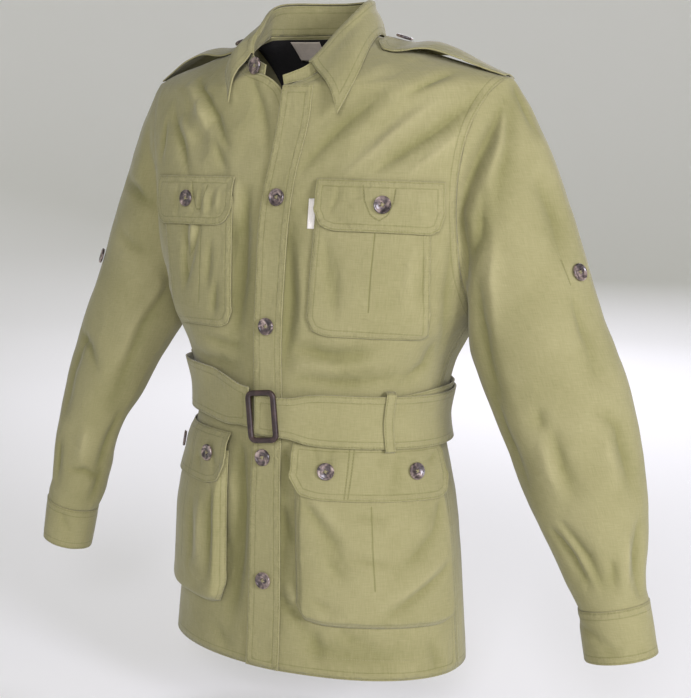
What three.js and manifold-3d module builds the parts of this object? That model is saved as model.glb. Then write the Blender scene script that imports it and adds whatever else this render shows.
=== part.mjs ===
// A belted safari jacket, worn open at the neck and filled out as on a wearer.
// Millimetres, +Z up, the front faces -Y and the wearer's left is +X.
// Heights in the tables are measured up from the hem; the group then moves down
// so that the origin lies in the middle of the neck, where the wearer holds it.
import * as THREE from 'three';
import Module from 'manifold-3d';
import { mergeVertices } from 'three/addons/utils/BufferGeometryUtils.js';

// Driving dimensions
const NECK_HEIGHT = 690;
const CLOTH = 1.4;
const TWO_PLY = 1.8;
const SEAM_GAP = 0.3;
const SLEEVE_GAP = 0.5;
const PLY_GAP = 0.4;
const PATCH_GAP = 1.1;
const FRONT_LAP = 2;
const BUTTON_RADIUS = 9.5;
const BUTTON_THICKNESS = 3.2;
const BUTTON_SHANK = 0.7;
const BELT_HEIGHT = 283;
const BELT_WIDTH = 57;
const BELT_WIDTH_IN_BUCKLE = 44;
const BELT_THICKNESS = 2.2;
const BUCKLE = { x: 1.5, wide: 38, high: 58, bar: 6, deep: 4.5, corner: 7, tilt: 7 };
const LOOP_WIDTH = 13;
const ARM_SIDE = 230;
const SKIRT_SWING = 7;

// Colours of the cloth, the horn-like buttons, the buckle and the labels
const KHAKI = 0xa7a27c;
const LINING = 0x1d1a16;
const HORN = 0x6d5f57;
const DARK_HORN = 0x2a1f1e;
const LABEL = 0xc4bba6;
const WHITE = 0xe4e0d4;

const jacket = new THREE.Group();
jacket.position.z = -NECK_HEIGHT;

const vec = (x, y, z) => new THREE.Vector3(x, y, z);
const radians = (degrees) => THREE.MathUtils.degToRad(degrees);
const lerp = (a, b, t) => a + (b - a) * t;
const smooth = (a, b, t) => THREE.MathUtils.smoothstep(t, a, b);
const mirrored = (p) => vec(-p.x, p.y, p.z);
const same = (p) => p;

// Table lookup: every named column is a smooth curve through its rows
function lookUp(table, key, at) {
  const last = table.length - 1;
  const first = table[0][key];
  if (at <= first) return { ...table[0] };
  if (at >= table[last][key]) return { ...table[last] };
  let i = 0;
  while (table[i + 1][key] < at) i += 1;
  const before = table[Math.max(i - 1, 0)];
  const a = table[i];
  const b = table[i + 1];
  const after = table[Math.min(i + 2, last)];
  const span = b[key] - a[key];
  const t = (at - a[key]) / span;
  const row = {};
  for (const name of Object.keys(a)) {
    const slopeA = a === before ? (b[name] - a[name]) / span
      : (b[name] - before[name]) / (b[key] - before[key]);
    const slopeB = b === after ? (b[name] - a[name]) / span
      : (after[name] - a[name]) / (after[key] - a[key]);
    const h10 = t * (1 - t) * (1 - t) * span;
    const h11 = -t * t * (1 - t) * span;
    const s = t * t * (3 - 2 * t);
    row[name] = lerp(a[name], b[name], s) + h10 * slopeA + h11 * slopeB;
  }
  return row;
}

// Armhole, seen along X: turn 0 at the shoulder tip, 90 in front, 180 at the underarm
const ARMHOLE = [
  { turn: 0, x: 224, y: -12, h: 654 },
  { turn: 30, x: 214, y: -42, h: 637 },
  { turn: 60, x: 201, y: -64, h: 597 },
  { turn: 90, x: 195, y: -72, h: 545 },
  { turn: 120, x: 195, y: -67, h: 490 },
  { turn: 150, x: 194, y: -44, h: 432 },
  { turn: 180, x: 193, y: -4, h: 404 },
  { turn: 210, x: 195, y: 40, h: 430 },
  { turn: 240, x: 197, y: 66, h: 488 },
  { turn: 270, x: 196, y: 74, h: 548 },
  { turn: 300, x: 203, y: 60, h: 602 },
  { turn: 330, x: 216, y: 25, h: 641 },
];
const ARMHOLE_LOOP = [
  ...ARMHOLE.slice(-2).map((row) => ({ ...row, turn: row.turn - 360 })),
  ...ARMHOLE,
  ...ARMHOLE.slice(0, 3).map((row) => ({ ...row, turn: row.turn + 360 })),
];

function armhole(turn) {
  const row = lookUp(ARMHOLE_LOOP, 'turn', turn);
  return vec(row.x, row.y, row.h);
}

// Front panel, a row for each level: its inner end at the centre or neckline, its
// outer end at the side seam or armhole turn, and how far its arc sweeps
const FRONT = [
  { level: 0, inX: 0, inY: -124, inH: 0, side: 183, turn: 180, sweep: 90, square: 2.02 },
  { level: 90, inX: 0, inY: -121, inH: 90, side: 176, turn: 180, sweep: 90, square: 2.02 },
  { level: 170, inX: 0, inY: -120, inH: 170, side: 169, turn: 180, sweep: 90, square: 2.05 },
  { level: 240, inX: 0, inY: -118, inH: 240, side: 157, turn: 180, sweep: 90, square: 2 },
  { level: 283, inX: 0, inY: -117, inH: 283, side: 150, turn: 180, sweep: 90, square: 1.98 },
  { level: 320, inX: 0, inY: -119, inH: 320, side: 156, turn: 180, sweep: 90, square: 2 },
  { level: 360, inX: 0, inY: -122, inH: 360, side: 168, turn: 180, sweep: 90, square: 2.15 },
  { level: 404, inX: 0, inY: -122, inH: 404, side: 193, turn: 180, sweep: 88, square: 2.35 },
  { level: 432, inX: 0, inY: -121, inH: 432, side: 193, turn: 150, sweep: 72, square: 2.35 },
  { level: 490, inX: 0, inY: -118, inH: 490, side: 193, turn: 120, sweep: 62, square: 2.35 },
  { level: 545, inX: 0, inY: -114, inH: 545, side: 193, turn: 90, sweep: 58, square: 2.35 },
  { level: 597, inX: 0, inY: -112, inH: 597, side: 193, turn: 60, sweep: 56, square: 2.35 },
  { level: 624, inX: 1, inY: -112, inH: 624, side: 193, turn: 40, sweep: 54, square: 2.35 },
  { level: 640, inX: 5, inY: -111, inH: 639, side: 193, turn: 28, sweep: 52, square: 2.35 },
  { level: 650, inX: 30, inY: -104, inH: 646, side: 193, turn: 20, sweep: 46, square: 2.3 },
  { level: 662, inX: 48, inY: -88, inH: 664, side: 193, turn: 13, sweep: 40, square: 2.2 },
  { level: 680, inX: 59, inY: -62, inH: 686, side: 193, turn: 6, sweep: 30, square: 2.1 },
  { level: 700, inX: 64, inY: -30, inH: 702, side: 193, turn: 0, sweep: 20, square: 2 },
];
const BACK = [
  { level: 0, depth: 122, side: 183, turn: 180, sweep: 90, square: 2.2 },
  { level: 90, depth: 120, side: 176, turn: 180, sweep: 90, square: 2.2 },
  { level: 170, depth: 118, side: 169, turn: 180, sweep: 90, square: 2.2 },
  { level: 240, depth: 110, side: 157, turn: 180, sweep: 90, square: 2.2 },
  { level: 283, depth: 105, side: 150, turn: 180, sweep: 90, square: 2.2 },
  { level: 320, depth: 108, side: 156, turn: 180, sweep: 90, square: 2.25 },
  { level: 360, depth: 115, side: 168, turn: 180, sweep: 90, square: 2.3 },
  { level: 404, depth: 122, side: 193, turn: 180, sweep: 88, square: 2.35 },
  { level: 432, depth: 124, side: 193, turn: 211, sweep: 72, square: 2.35 },
  { level: 490, depth: 125, side: 193, turn: 241, sweep: 62, square: 2.35 },
  { level: 550, depth: 119, side: 193, turn: 271, sweep: 58, square: 2.35 },
  { level: 600, depth: 107, side: 193, turn: 299, sweep: 56, square: 2.35 },
];
const UNDERARM = 404;
// Share of a row kept clear at a seam, so that the pieces stand 0.3 mm apart
const SEAM_SHARE = 0.0012;

// Soft folds of the cloth: a ridge or trough along a line, deepest in its middle
const FRONT_FOLDS = [
  { x1: 70, h1: 560, x2: 190, h2: 640, wide: 13, deep: -5 },
  { x1: 60, h1: 600, x2: 150, h2: 672, wide: 11, deep: -4 },
  { x1: 40, h1: 575, x2: 120, h2: 612, wide: 12, deep: 3.5 },
  { x1: 60, h1: 362, x2: 165, h2: 330, wide: 13, deep: 4 },
  { x1: 28, h1: 345, x2: 90, h2: 322, wide: 9, deep: -3 },
  { x1: 176, h1: 470, x2: 186, h2: 380, wide: 10, deep: -4 },
  { x1: 150, h1: 352, x2: 176, h2: 395, wide: 10, deep: 3 },
];
const BACK_FOLDS = [
  { x1: 20, h1: 345, x2: 130, h2: 325, wide: 13, deep: 4 },
  { x1: -110, h1: 350, x2: -25, h2: 328, wide: 12, deep: 4 },
  { x1: 70, h1: 400, x2: 60, h2: 330, wide: 12, deep: -3.5 },
  { x1: -80, h1: 410, x2: -60, h2: 330, wide: 13, deep: -4 },
  { x1: 150, h1: 560, x2: 120, h2: 440, wide: 14, deep: -4 },
  { x1: -148, h1: 550, x2: -125, h2: 450, wide: 13, deep: -4 },
  { x1: 40, h1: 225, x2: 52, h2: 60, wide: 15, deep: 4 },
  { x1: -70, h1: 222, x2: -85, h2: 70, wide: 15, deep: 4 },
];

function foldDepth(folds, x, h) {
  let sum = 0;
  for (const fold of folds) {
    const dx = fold.x2 - fold.x1;
    const dh = fold.h2 - fold.h1;
    const along = ((x - fold.x1) * dx + (h - fold.h1) * dh) / (dx * dx + dh * dh);
    const near = THREE.MathUtils.clamp(along, 0, 1);
    const off = Math.hypot(x - fold.x1 - near * dx, h - fold.h1 - near * dh);
    const fade = Math.sin(Math.PI * THREE.MathUtils.clamp(near * 0.8 + 0.1, 0, 1));
    sum += fold.deep * fade * Math.exp(-(off * off) / (fold.wide * fold.wide));
  }
  return sum;
}

// A superellipse arc from the middle of the body towards its side
function arc(angle, sweep, square) {
  const reach = (a) => {
    const s = Math.sin(a);
    const c = Math.cos(a);
    const r = (s ** square + c ** square) ** (-1 / square);
    return { across: r * s, along: r * c };
  };
  const at = reach(angle);
  const end = reach(sweep);
  return { across: at.across / end.across, along: (at.along - end.along) / (1 - end.along) };
}

function bodyRow(inner, outer, row, s) {
  const edge = radians(Math.min(row.sweep, 89.9));
  const { across, along } = arc(edge * s, edge, row.square);
  return vec(lerp(inner.x, outer.x, across), lerp(outer.y, inner.y, along), lerp(inner.z, outer.z, s));
}

const outerEnd = (row) => (row.level <= UNDERARM ? vec(row.side, -4, row.level) : armhole(row.turn));

// Front surface of the wearer's left: s runs from the centre to the side, level
// upwards, and a negative s lies as far across the centre
function front(s, level) {
  const row = lookUp(FRONT, 'level', level);
  row.level = level;
  const side = Math.abs(s);
  const point = bodyRow(vec(row.inX, row.inY, row.inH), outerEnd(row), row, side);
  const keep = smooth(0, 0.12, side) * (1 - smooth(0.93, 1, side));
  point.y -= keep * foldDepth(FRONT_FOLDS, point.x, point.z);
  if (s < 0) point.x = 2 * row.inX - point.x;
  return point;
}

function back(s, level) {
  const row = lookUp(BACK, 'level', level);
  row.level = level;
  const side = Math.abs(s);
  const point = bodyRow(vec(0, row.depth, level), outerEnd(row), row, side);
  point.x *= Math.sign(s) || 1;
  const keep = (1 - smooth(0.93, 1, side)) * (1 - smooth(560, 600, level));
  point.y += keep * foldDepth(BACK_FOLDS, point.x, point.z);
  return point;
}

// The yoke: s from shoulder to shoulder, rise from its back seam up to the neckline
// and the shoulder seams
const NECK_SHARE = 0.36;
const YOKE_LEVEL = 600;
const YOKE_TURN = 299;
const NECK_SIDE = vec(64, -30, 702);
const NECK_BACK = vec(0, 42, 711);

function yokeTop(side) {
  if (side > NECK_SHARE) {
    return NECK_SIDE.clone().lerp(armhole(0), (side - NECK_SHARE) / (1 - NECK_SHARE));
  }
  const angle = (side / NECK_SHARE) * Math.PI / 2;
  return vec(
    NECK_SIDE.x * Math.sin(angle),
    lerp(NECK_SIDE.y, NECK_BACK.y, Math.cos(angle)),
    lerp(NECK_SIDE.z, NECK_BACK.z, Math.cos(angle)),
  );
}

function yoke(s, rise) {
  const place = (side) => {
    const swell = lerp(5, 15, smooth(0, NECK_SHARE, side)) * Math.sin(Math.PI * rise);
    const point = back(side, YOKE_LEVEL).lerp(yokeTop(side), rise);
    return point.add(vec(0, swell * 0.7, swell * 0.7));
  };
  const side = Math.abs(s);
  const miss = armhole(lerp(YOKE_TURN, 360, rise)).sub(place(1));
  const point = place(side).addScaledVector(miss, side ** 6);
  point.x *= Math.sign(s) || 1;
  return point;
}

// The share s at which a surface reaches a given x on one of its rows
function shareAt(surface, row, x) {
  const start = surface(0, row).x;
  let low = 0;
  let high = 1;
  for (let i = 0; i < 24; i += 1) {
    const s = (low + high) / 2;
    if (surface(s, row).x - start < Math.abs(x - start)) low = s;
    else high = s;
  }
  return x < start ? -low : low;
}

function normalOn(surface, s, row, step = 1) {
  const near = THREE.MathUtils.clamp(s, -0.99, 0.99);
  const across = surface(near + 0.004, row).sub(surface(near - 0.004, row));
  const up = surface(near, row + step).sub(surface(near, row - step));
  return across.cross(up).normalize();
}

// How far the left front stands off the right one that it laps over
const lap = (x) => FRONT_LAP * (1 - smooth(20, 48, x));

// A point lifted off the left front
function offFront(s, level, lift) {
  const point = front(s, level);
  const standing = lift + lap(point.x);
  return point.addScaledVector(normalOn(front, s, level), standing);
}

// Walls: a grid of outer points, and the same grid moved in by the cloth's thickness
function gridNormals(grid, wrap) {
  const rows = grid.length;
  const cols = grid[0].length;
  return grid.map((line, i) => line.map((_, j) => {
    const up = grid[Math.min(i + 1, rows - 1)][j];
    const down = grid[Math.max(i - 1, 0)][j];
    const right = wrap ? line[(j + 1) % cols] : line[Math.min(j + 1, cols - 1)];
    const left = wrap ? line[(j + cols - 1) % cols] : line[Math.max(j - 1, 0)];
    const across = right.clone().sub(left);
    return across.cross(up.clone().sub(down)).normalize();
  }));
}

function solidOf(outer, inner, wrap) {
  const rows = outer.length;
  const cols = outer[0].length;
  const positions = [...outer.flat(), ...inner.flat()].flatMap((p) => [p.x, p.y, p.z]);
  const faces = [];
  const id = (side, i, j) => side * rows * cols + i * cols + (j % cols);
  const quad = (a, b, c, d) => faces.push(a, b, c, a, c, d);
  const lastCol = wrap ? cols : cols - 1;
  for (let i = 0; i < rows - 1; i += 1) {
    for (let j = 0; j < lastCol; j += 1) {
      quad(id(0, i, j), id(0, i, j + 1), id(0, i + 1, j + 1), id(0, i + 1, j));
      quad(id(1, i, j), id(1, i + 1, j), id(1, i + 1, j + 1), id(1, i, j + 1));
    }
  }
  for (let j = 0; j < lastCol; j += 1) {
    quad(id(0, 0, j), id(1, 0, j), id(1, 0, j + 1), id(0, 0, j + 1));
    quad(id(0, rows - 1, j), id(0, rows - 1, j + 1), id(1, rows - 1, j + 1), id(1, rows - 1, j));
  }
  for (let i = 0; i < rows - 1 && !wrap; i += 1) {
    quad(id(0, i, 0), id(0, i + 1, 0), id(1, i + 1, 0), id(1, i, 0));
    quad(id(0, i, cols - 1), id(1, i, cols - 1), id(1, i + 1, cols - 1), id(0, i + 1, cols - 1));
  }
  const geometry = new THREE.BufferGeometry();
  geometry.setAttribute('position', new THREE.Float32BufferAttribute(positions, 3));
  geometry.setIndex(faces);
  return facingOut(geometry);
}

function facingOut(geometry) {
  const p = geometry.attributes.position;
  const index = geometry.index.array;
  let volume = 0;
  for (let i = 0; i < index.length; i += 3) {
    const [a, b, c] = [0, 1, 2].map((k) => vec().fromBufferAttribute(p, index[i + k]));
    volume += a.dot(b.cross(c));
  }
  if (volume < 0) {
    for (let i = 0; i < index.length; i += 3) {
      [index[i + 1], index[i + 2]] = [index[i + 2], index[i + 1]];
    }
  }
  geometry.computeVertexNormals();
  return geometry;
}

// A wall lies between the grid and the same grid moved in. Where two walls meet at
// an edge, pinned gives the direction that both share there.
function wall(grid, thickness, { wrap = false, pinned = () => null } = {}) {
  const normals = gridNormals(grid, wrap);
  const inner = grid.map((line, i) => line.map((p, j) => (
    p.clone().addScaledVector(pinned(i, j) ?? normals[i][j], -thickness))));
  return solidOf(grid, inner, wrap);
}

// Below the belt the skirt of the jacket swings a little to the wearer's left
function swing(geometry) {
  const p = geometry.attributes.position;
  for (let i = 0; i < p.count; i += 1) {
    const low = 1 - smooth(0, BELT_HEIGHT, p.getZ(i));
    if (Math.abs(p.getX(i)) < ARM_SIDE) p.setX(i, p.getX(i) + SKIRT_SWING * low);
  }
}

function add(name, geometry, color, roughness = 0.9, metalness = 0) {
  swing(geometry);
  const material = new THREE.MeshStandardMaterial({ color, roughness, metalness });
  const mesh = new THREE.Mesh(geometry, material);
  mesh.name = name;
  jacket.add(mesh);
  return mesh;
}

const steps = (count, from = 0, to = 1) => (
  Array.from({ length: count + 1 }, (_, i) => lerp(from, to, i / count)));

// Directions shared at the shoulder seam and round the armhole
const SHOULDER_NORMAL = vec(0.3, 0, 0.95).normalize();

// The cloth's outward direction at the armhole, from whichever panel ends there
function rowAtTurn(table, turn, rising) {
  let low = UNDERARM;
  let high = table[table.length - 1].level;
  for (let i = 0; i < 24; i += 1) {
    const level = (low + high) / 2;
    if (lookUp(table, 'level', level).turn < turn === rising) low = level;
    else high = level;
  }
  return low;
}

function panelNormal(turn) {
  if (turn <= 180) return normalOn(front, 0.96, rowAtTurn(FRONT, turn, false));
  if (turn < YOKE_TURN) return normalOn(back, 0.96, rowAtTurn(BACK, turn, true)).negate();
  return normalOn(yoke, 0.96, (turn - YOKE_TURN) / (360 - YOKE_TURN), 0.03).negate();
}

const ARMHOLE_NORMALS = Array.from({ length: 36 }, (_, i) => panelNormal(i * 10 + 0.01));

function armholeNormal(turn) {
  const at = ((turn + 360) % 360) / 10;
  const i = Math.floor(at);
  const sum = vec();
  for (const step of [-1, 0, 1, 2]) {
    const weight = 2 - Math.abs(at - i - step);
    sum.addScaledVector(ARMHOLE_NORMALS[(i + step + 36) % 36], weight);
  }
  return sum.normalize();
}

function armholeOut(turn) {
  const along = armhole(turn + 1).sub(armhole(turn - 1));
  return armholeNormal(turn).cross(along).normalize();
}

// Fronts, the left lapping over the right one; each row of edge gives the x where
// that front's edge lies, counted from the middle towards its own side
const FRONT_LEVELS = [
  0.2, 60, 125, 185, 235, 259, 283, 318, 350, 380, 404, 418, 445, 480, 515, 550, 585,
  610, 628, 640, 650, 662, 680, 699.5,
];
const LEFT_EDGE = [
  { level: 0, x: -22, fold: 21 },
  { level: 150, x: -20, fold: 20 },
  { level: 300, x: -17, fold: 19 },
  { level: 420, x: -16, fold: 20 },
  { level: 503, x: -16, fold: 22 },
  { level: 555, x: -8, fold: 28 },
  { level: 597, x: 0, fold: 38 },
  { level: 640, x: 5.5, fold: 42 },
];
const RIGHT_EDGE = [
  { level: 0, x: -16 },
  { level: 610, x: -15 },
  { level: 628, x: -12 },
  { level: 640, x: 5 },
];
const FRONT_COLUMNS = [0, 0.05, 0.11, 0.19, 0.29, 0.39, 0.5, 0.61, 0.71, 0.81, 0.91, 1];
const TURN_AT = (level) => lookUp(FRONT, 'level', level).turn;

// The unbuttoned neck lets the top corner of the right front fall open
const OPENING = { x: 19, y: 6, h: 12 };

function opened(p) {
  const share = smooth(590, 645, p.z) * (1 - smooth(25, 75, p.x)) * (1 - smooth(-85, -50, p.y));
  return p.add(vec(OPENING.x, OPENING.y, OPENING.h).multiplyScalar(share));
}

function frontWall(edges, left) {
  const grid = FRONT_LEVELS.map((level) => {
    const edge = Math.max(lookUp(edges, 'level', level).x, -30);
    const first = level > 645 ? 0 : shareAt(front, level, edge);
    return FRONT_COLUMNS.map((u) => {
      const p = front(lerp(first, 1 - SEAM_SHARE, u), level);
      if (left) p.y -= lap(p.x);
      return left ? p : opened(p);
    });
  });
  const pinned = (i, j) => {
    if (i === FRONT_LEVELS.length - 1) return SHOULDER_NORMAL;
    const outermost = j === FRONT_COLUMNS.length - 1 && FRONT_LEVELS[i] > UNDERARM + 1;
    return outermost ? armholeNormal(TURN_AT(FRONT_LEVELS[i])) : null;
  };
  return { grid, pinned };
}

const flip = (grid) => grid.map((line) => line.map(mirrored).reverse());

function addMirrored(name, grid, thickness, options = {}, color = KHAKI) {
  const { pinned = () => null, wrap = false } = options;
  const cols = grid[0].length;
  const turned = (i, j) => {
    const normal = pinned(i, cols - 1 - j);
    return normal ? mirrored(normal) : null;
  };
  add(name, wall(flip(grid), thickness, { wrap, pinned: turned }), color);
}

const leftFront = frontWall(LEFT_EDGE, true);
const rightFront = frontWall(RIGHT_EDGE, false);
add('front_left', wall(leftFront.grid, CLOTH, { pinned: leftFront.pinned }), KHAKI);
addMirrored('front_right', rightFront.grid, CLOTH, { pinned: rightFront.pinned });

// Back panel up to the yoke seam
const BACK_LEVELS = [
  0.2, 60, 125, 185, 235, 283, 318, 350, 380, 404, 418, 445, 485, 525, 565,
  YOKE_LEVEL - SEAM_GAP,
];
const backColumns = steps(20, SEAM_SHARE - 1, 1 - SEAM_SHARE);
const backTurn = (level, side) => {
  const turn = lookUp(BACK, 'level', level).turn;
  return side < 0 ? mirrored(armholeNormal(turn)) : armholeNormal(turn);
};
const backGrid = BACK_LEVELS.map((level) => backColumns.map((s) => back(s, level)).reverse());
const backPinned = (i, j) => {
  const edge = j === 0 || j === backColumns.length - 1;
  return edge && BACK_LEVELS[i] > UNDERARM + 1 ? backTurn(BACK_LEVELS[i], j === 0 ? 1 : -1) : null;
};
add('back', wall(backGrid, CLOTH, { pinned: backPinned }), KHAKI);

// Yoke over the shoulder blades, ending at the neckline and the shoulder seams
const YOKE_RISES = [0.004, 0.14, 0.3, 0.47, 0.64, 0.8, 0.92, 0.9965];
const YOKE_SIDES = [0, 0.09, 0.18, 0.27, NECK_SHARE, 0.45, 0.56, 0.67, 0.78, 0.89, 0.998];
const yokeColumns = [...YOKE_SIDES.slice(1).map((s) => -s).reverse(), ...YOKE_SIDES].reverse();
const yokeGrid = YOKE_RISES.map((rise) => yokeColumns.map((s) => yoke(s, rise)));
const yokePinned = (i, j) => {
  const s = yokeColumns[j];
  const side = s < 0 ? mirrored : same;
  if (i === YOKE_RISES.length - 1 && Math.abs(s) >= NECK_SHARE) return side(SHOULDER_NORMAL);
  if (Math.abs(s) > 0.99) return side(armholeNormal(lerp(YOKE_TURN, 360, YOKE_RISES[i])));
  return null;
};
add('yoke', wall(yokeGrid, CLOTH, { pinned: yokePinned }), KHAKI);

// Dark half lining behind the neck, just inside the yoke
const LINING_GAP = 0.7;
const LINING_RISES = [...YOKE_RISES.slice(1, -1), 0.97];
const liningColumns = yokeColumns.filter((s) => Math.abs(s) < 0.5);
const liningGrid = LINING_RISES.map((rise) => liningColumns.map((s) => yoke(s, rise)));
const liningNormals = gridNormals(liningGrid, false);
const liningOuter = liningGrid.map((line, i) => line.map((p, j) => (
  p.clone().addScaledVector(liningNormals[i][j], -CLOTH - LINING_GAP))));
add('neck_lining', wall(liningOuter, 1), LINING);

// Sleeves: from the armhole through rings square to the arm down to the cuff
const SLEEVE_RINGS = [
  { at: 1, x: 263, y: -3, h: 386, wide: 74, deep: 58, lean: 21, twist: 14 },
  { at: 2, x: 286, y: -4, h: 335, wide: 74, deep: 53, lean: 20, twist: 18 },
  { at: 3, x: 307, y: -5, h: 287, wide: 71, deep: 49, lean: 19, twist: 20 },
  { at: 4, x: 323, y: -7, h: 240, wide: 67, deep: 46, lean: 17, twist: 21 },
  { at: 5, x: 338, y: -8, h: 196, wide: 58, deep: 44, lean: 14, twist: 20 },
  { at: 6, x: 349, y: -9, h: 160, wide: 49, deep: 40, lean: 12, twist: 16 },
  { at: 7, x: 358, y: -10, h: 128, wide: 41, deep: 36, lean: 13, twist: 10 },
  { at: 8, x: 366.5, y: -11, h: 108.5, wide: 37, deep: 34.5, lean: 14, twist: 6 },
];
const CUFF_RINGS = [
  { at: 8, x: 366.6, y: -11, h: 108, wide: 38, deep: 35.5, lean: 14, twist: 6 },
  { at: 9, x: 370, y: -11.3, h: 92, wide: 38.4, deep: 36, lean: 13.5, twist: 6 },
  { at: 10, x: 374, y: -11.7, h: 73, wide: 38.6, deep: 36.2, lean: 13, twist: 6 },
  { at: 11, x: 378, y: -12, h: 55, wide: 38.8, deep: 36.4, lean: 12.5, twist: 6 },
];

// The right sleeve hangs a little slimmer and closer than the left one
const RIGHT_SLEEVE = [
  { at: 0, slim: 1, out: 0, rise: 0 },
  { at: 1, slim: 0.93, out: 1, rise: 0 },
  { at: 2, slim: 0.88, out: 5, rise: 0 },
  { at: 3, slim: 0.86, out: 6, rise: 0 },
  { at: 4, slim: 0.8, out: 9, rise: 2 },
  { at: 5, slim: 0.81, out: 5, rise: 4 },
  { at: 7, slim: 0.92, out: -3, rise: 7 },
  { at: 8, slim: 0.92, out: -4, rise: 7 },
  { at: 11, slim: 0.85, out: -7.5, rise: 8 },
];

function rightRing(row) {
  const change = lookUp(RIGHT_SLEEVE, 'at', row.at);
  const { slim, out, rise } = change;
  return { ...row, x: row.x + out, h: row.h + rise, wide: row.wide * slim, deep: row.deep * slim };
}

const SLEEVE_FOLDS = [
  { turn: 20, at1: 0.2, at2: 1.6, wide: 16, deep: -4 },
  { turn: 330, at1: 0.3, at2: 1.8, wide: 18, deep: -3.5 },
  { turn: 100, at1: 1.4, at2: 3.2, wide: 20, deep: 3 },
  { turn: 140, at1: 2.2, at2: 4.6, wide: 18, deep: -4 },
  { turn: 60, at1: 4, at2: 6.4, wide: 20, deep: 3.5 },
  { turn: 25, at1: 5, at2: 7.4, wide: 16, deep: -3.5 },
  { turn: 210, at1: 3, at2: 5.6, wide: 20, deep: -3.5 },
  { turn: 265, at1: 4, at2: 7, wide: 20, deep: 3 },
];

// Ring point: turn 0 lies on the outside of the arm, 90 in front, 180 by the body
function ringPoint(row, turn) {
  const a = radians(turn + row.twist);
  const lean = radians(row.lean);
  const out = row.wide * Math.cos(a) * Math.cos(radians(row.twist))
    + row.deep * Math.sin(a) * Math.sin(radians(row.twist));
  const forth = row.deep * Math.sin(a) * Math.cos(radians(row.twist))
    - row.wide * Math.cos(a) * Math.sin(radians(row.twist));
  return vec(row.x + out * Math.cos(lean), row.y - forth, row.h + out * Math.sin(lean));
}

const armDirection = (row) => vec(Math.sin(radians(row.lean)), 0, -Math.cos(radians(row.lean)));

function sleevePoint(rings, at, turn) {
  if (at >= 1) {
    const row = lookUp(rings, 'at', at);
    const point = ringPoint(row, turn);
    const middle = vec(row.x, row.y, row.h);
    let bend = 0;
    for (const fold of SLEEVE_FOLDS) {
      const off = Math.abs(turn - fold.turn) % 360;
      const near = Math.min(off, 360 - off);
      const along = THREE.MathUtils.clamp((at - fold.at1) / (fold.at2 - fold.at1), 0, 1);
      bend += fold.deep * Math.sin(Math.PI * along) * Math.exp(-((near / fold.wide) ** 2));
    }
    const outward = point.clone().sub(middle);
    return middle.addScaledVector(outward, 1 + bend / outward.length());
  }
  const start = armhole(turn).addScaledVector(armholeOut(turn), SLEEVE_GAP);
  const end = ringPoint(rings[0], turn);
  const arm = armDirection(rings[0]);
  const low = (1 - Math.cos(radians(turn))) / 2;
  const reach = start.distanceTo(end);
  const leave = vec(low, 0, 0)
    .addScaledVector(armholeOut(turn), 0.35 * (1 - low))
    .addScaledVector(arm, 0.65 * (1 - low))
    .setLength(reach * lerp(0.8, 0.35, low));
  const arrive = arm.multiplyScalar(reach * lerp(0.9, 0.8, low));
  const t = at;
  return start.multiplyScalar(2 * t ** 3 - 3 * t ** 2 + 1)
    .addScaledVector(leave, t ** 3 - 2 * t ** 2 + t)
    .addScaledVector(end, 3 * t ** 2 - 2 * t ** 3)
    .addScaledVector(arrive, t ** 3 - t ** 2);
}

const SLEEVE_STEPS = [
  0, 0.06, 0.16, 0.32, 0.5, 0.72, 1, 1.5, 2, 2.6, 3.2, 3.8, 4.4, 5, 5.6, 6.2, 6.8, 7.4, 8,
];
const turnsOf = (table, levels) => levels.map((level) => lookUp(table, 'level', level).turn);
const RING_TURNS = [
  ...turnsOf(FRONT, [699.5, 662, 640, 628, 610, 585, 550, 515, 480, 445, 418]),
  180,
  ...turnsOf(BACK, [418, 445, 485, 525, 565]),
  ...[0.004, 0.14, 0.3, 0.47, 0.64, 0.8].map((rise) => lerp(YOKE_TURN, 360, rise)),
];
const sleevePinned = (i, j) => (i === 0 ? armholeNormal(RING_TURNS[j]) : null);
const sleeveGrid = (rings) => (
  SLEEVE_STEPS.map((at) => RING_TURNS.map((turn) => sleevePoint(rings, at, turn))));
const cuffGrid = (rings) => rings.map((row) => RING_TURNS.map((turn) => ringPoint(row, turn)));
const RIGHT_RINGS = SLEEVE_RINGS.map(rightRing);
const RIGHT_CUFF = CUFF_RINGS.map(rightRing);
const sleeveOptions = { wrap: true, pinned: sleevePinned };
add('sleeve_left', wall(sleeveGrid(SLEEVE_RINGS), CLOTH, sleeveOptions), KHAKI);
addMirrored('sleeve_right', sleeveGrid(RIGHT_RINGS), CLOTH, sleeveOptions);
add('cuff_left', wall(cuffGrid(CUFF_RINGS), CLOTH + 0.8, { wrap: true }), KHAKI);
addMirrored('cuff_right', cuffGrid(RIGHT_CUFF), CLOTH + 0.8, { wrap: true });

// Button placket, a folded strip along the edge of the left front
const PLACKET_LIFT = CLOTH + PLY_GAP;
const placketLevels = FRONT_LEVELS.filter((level) => level <= 640);
const placketGrid = placketLevels.map((level) => {
  const row = lookUp(LEFT_EDGE, 'level', level);
  return steps(4, row.x + 0.5, row.fold).map((x) => {
    const p = front(shareAt(front, level, x), level);
    p.y -= lap(p.x) + PLACKET_LIFT;
    return p;
  });
});
add('placket', wall(placketGrid, CLOTH), KHAKI);

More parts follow.
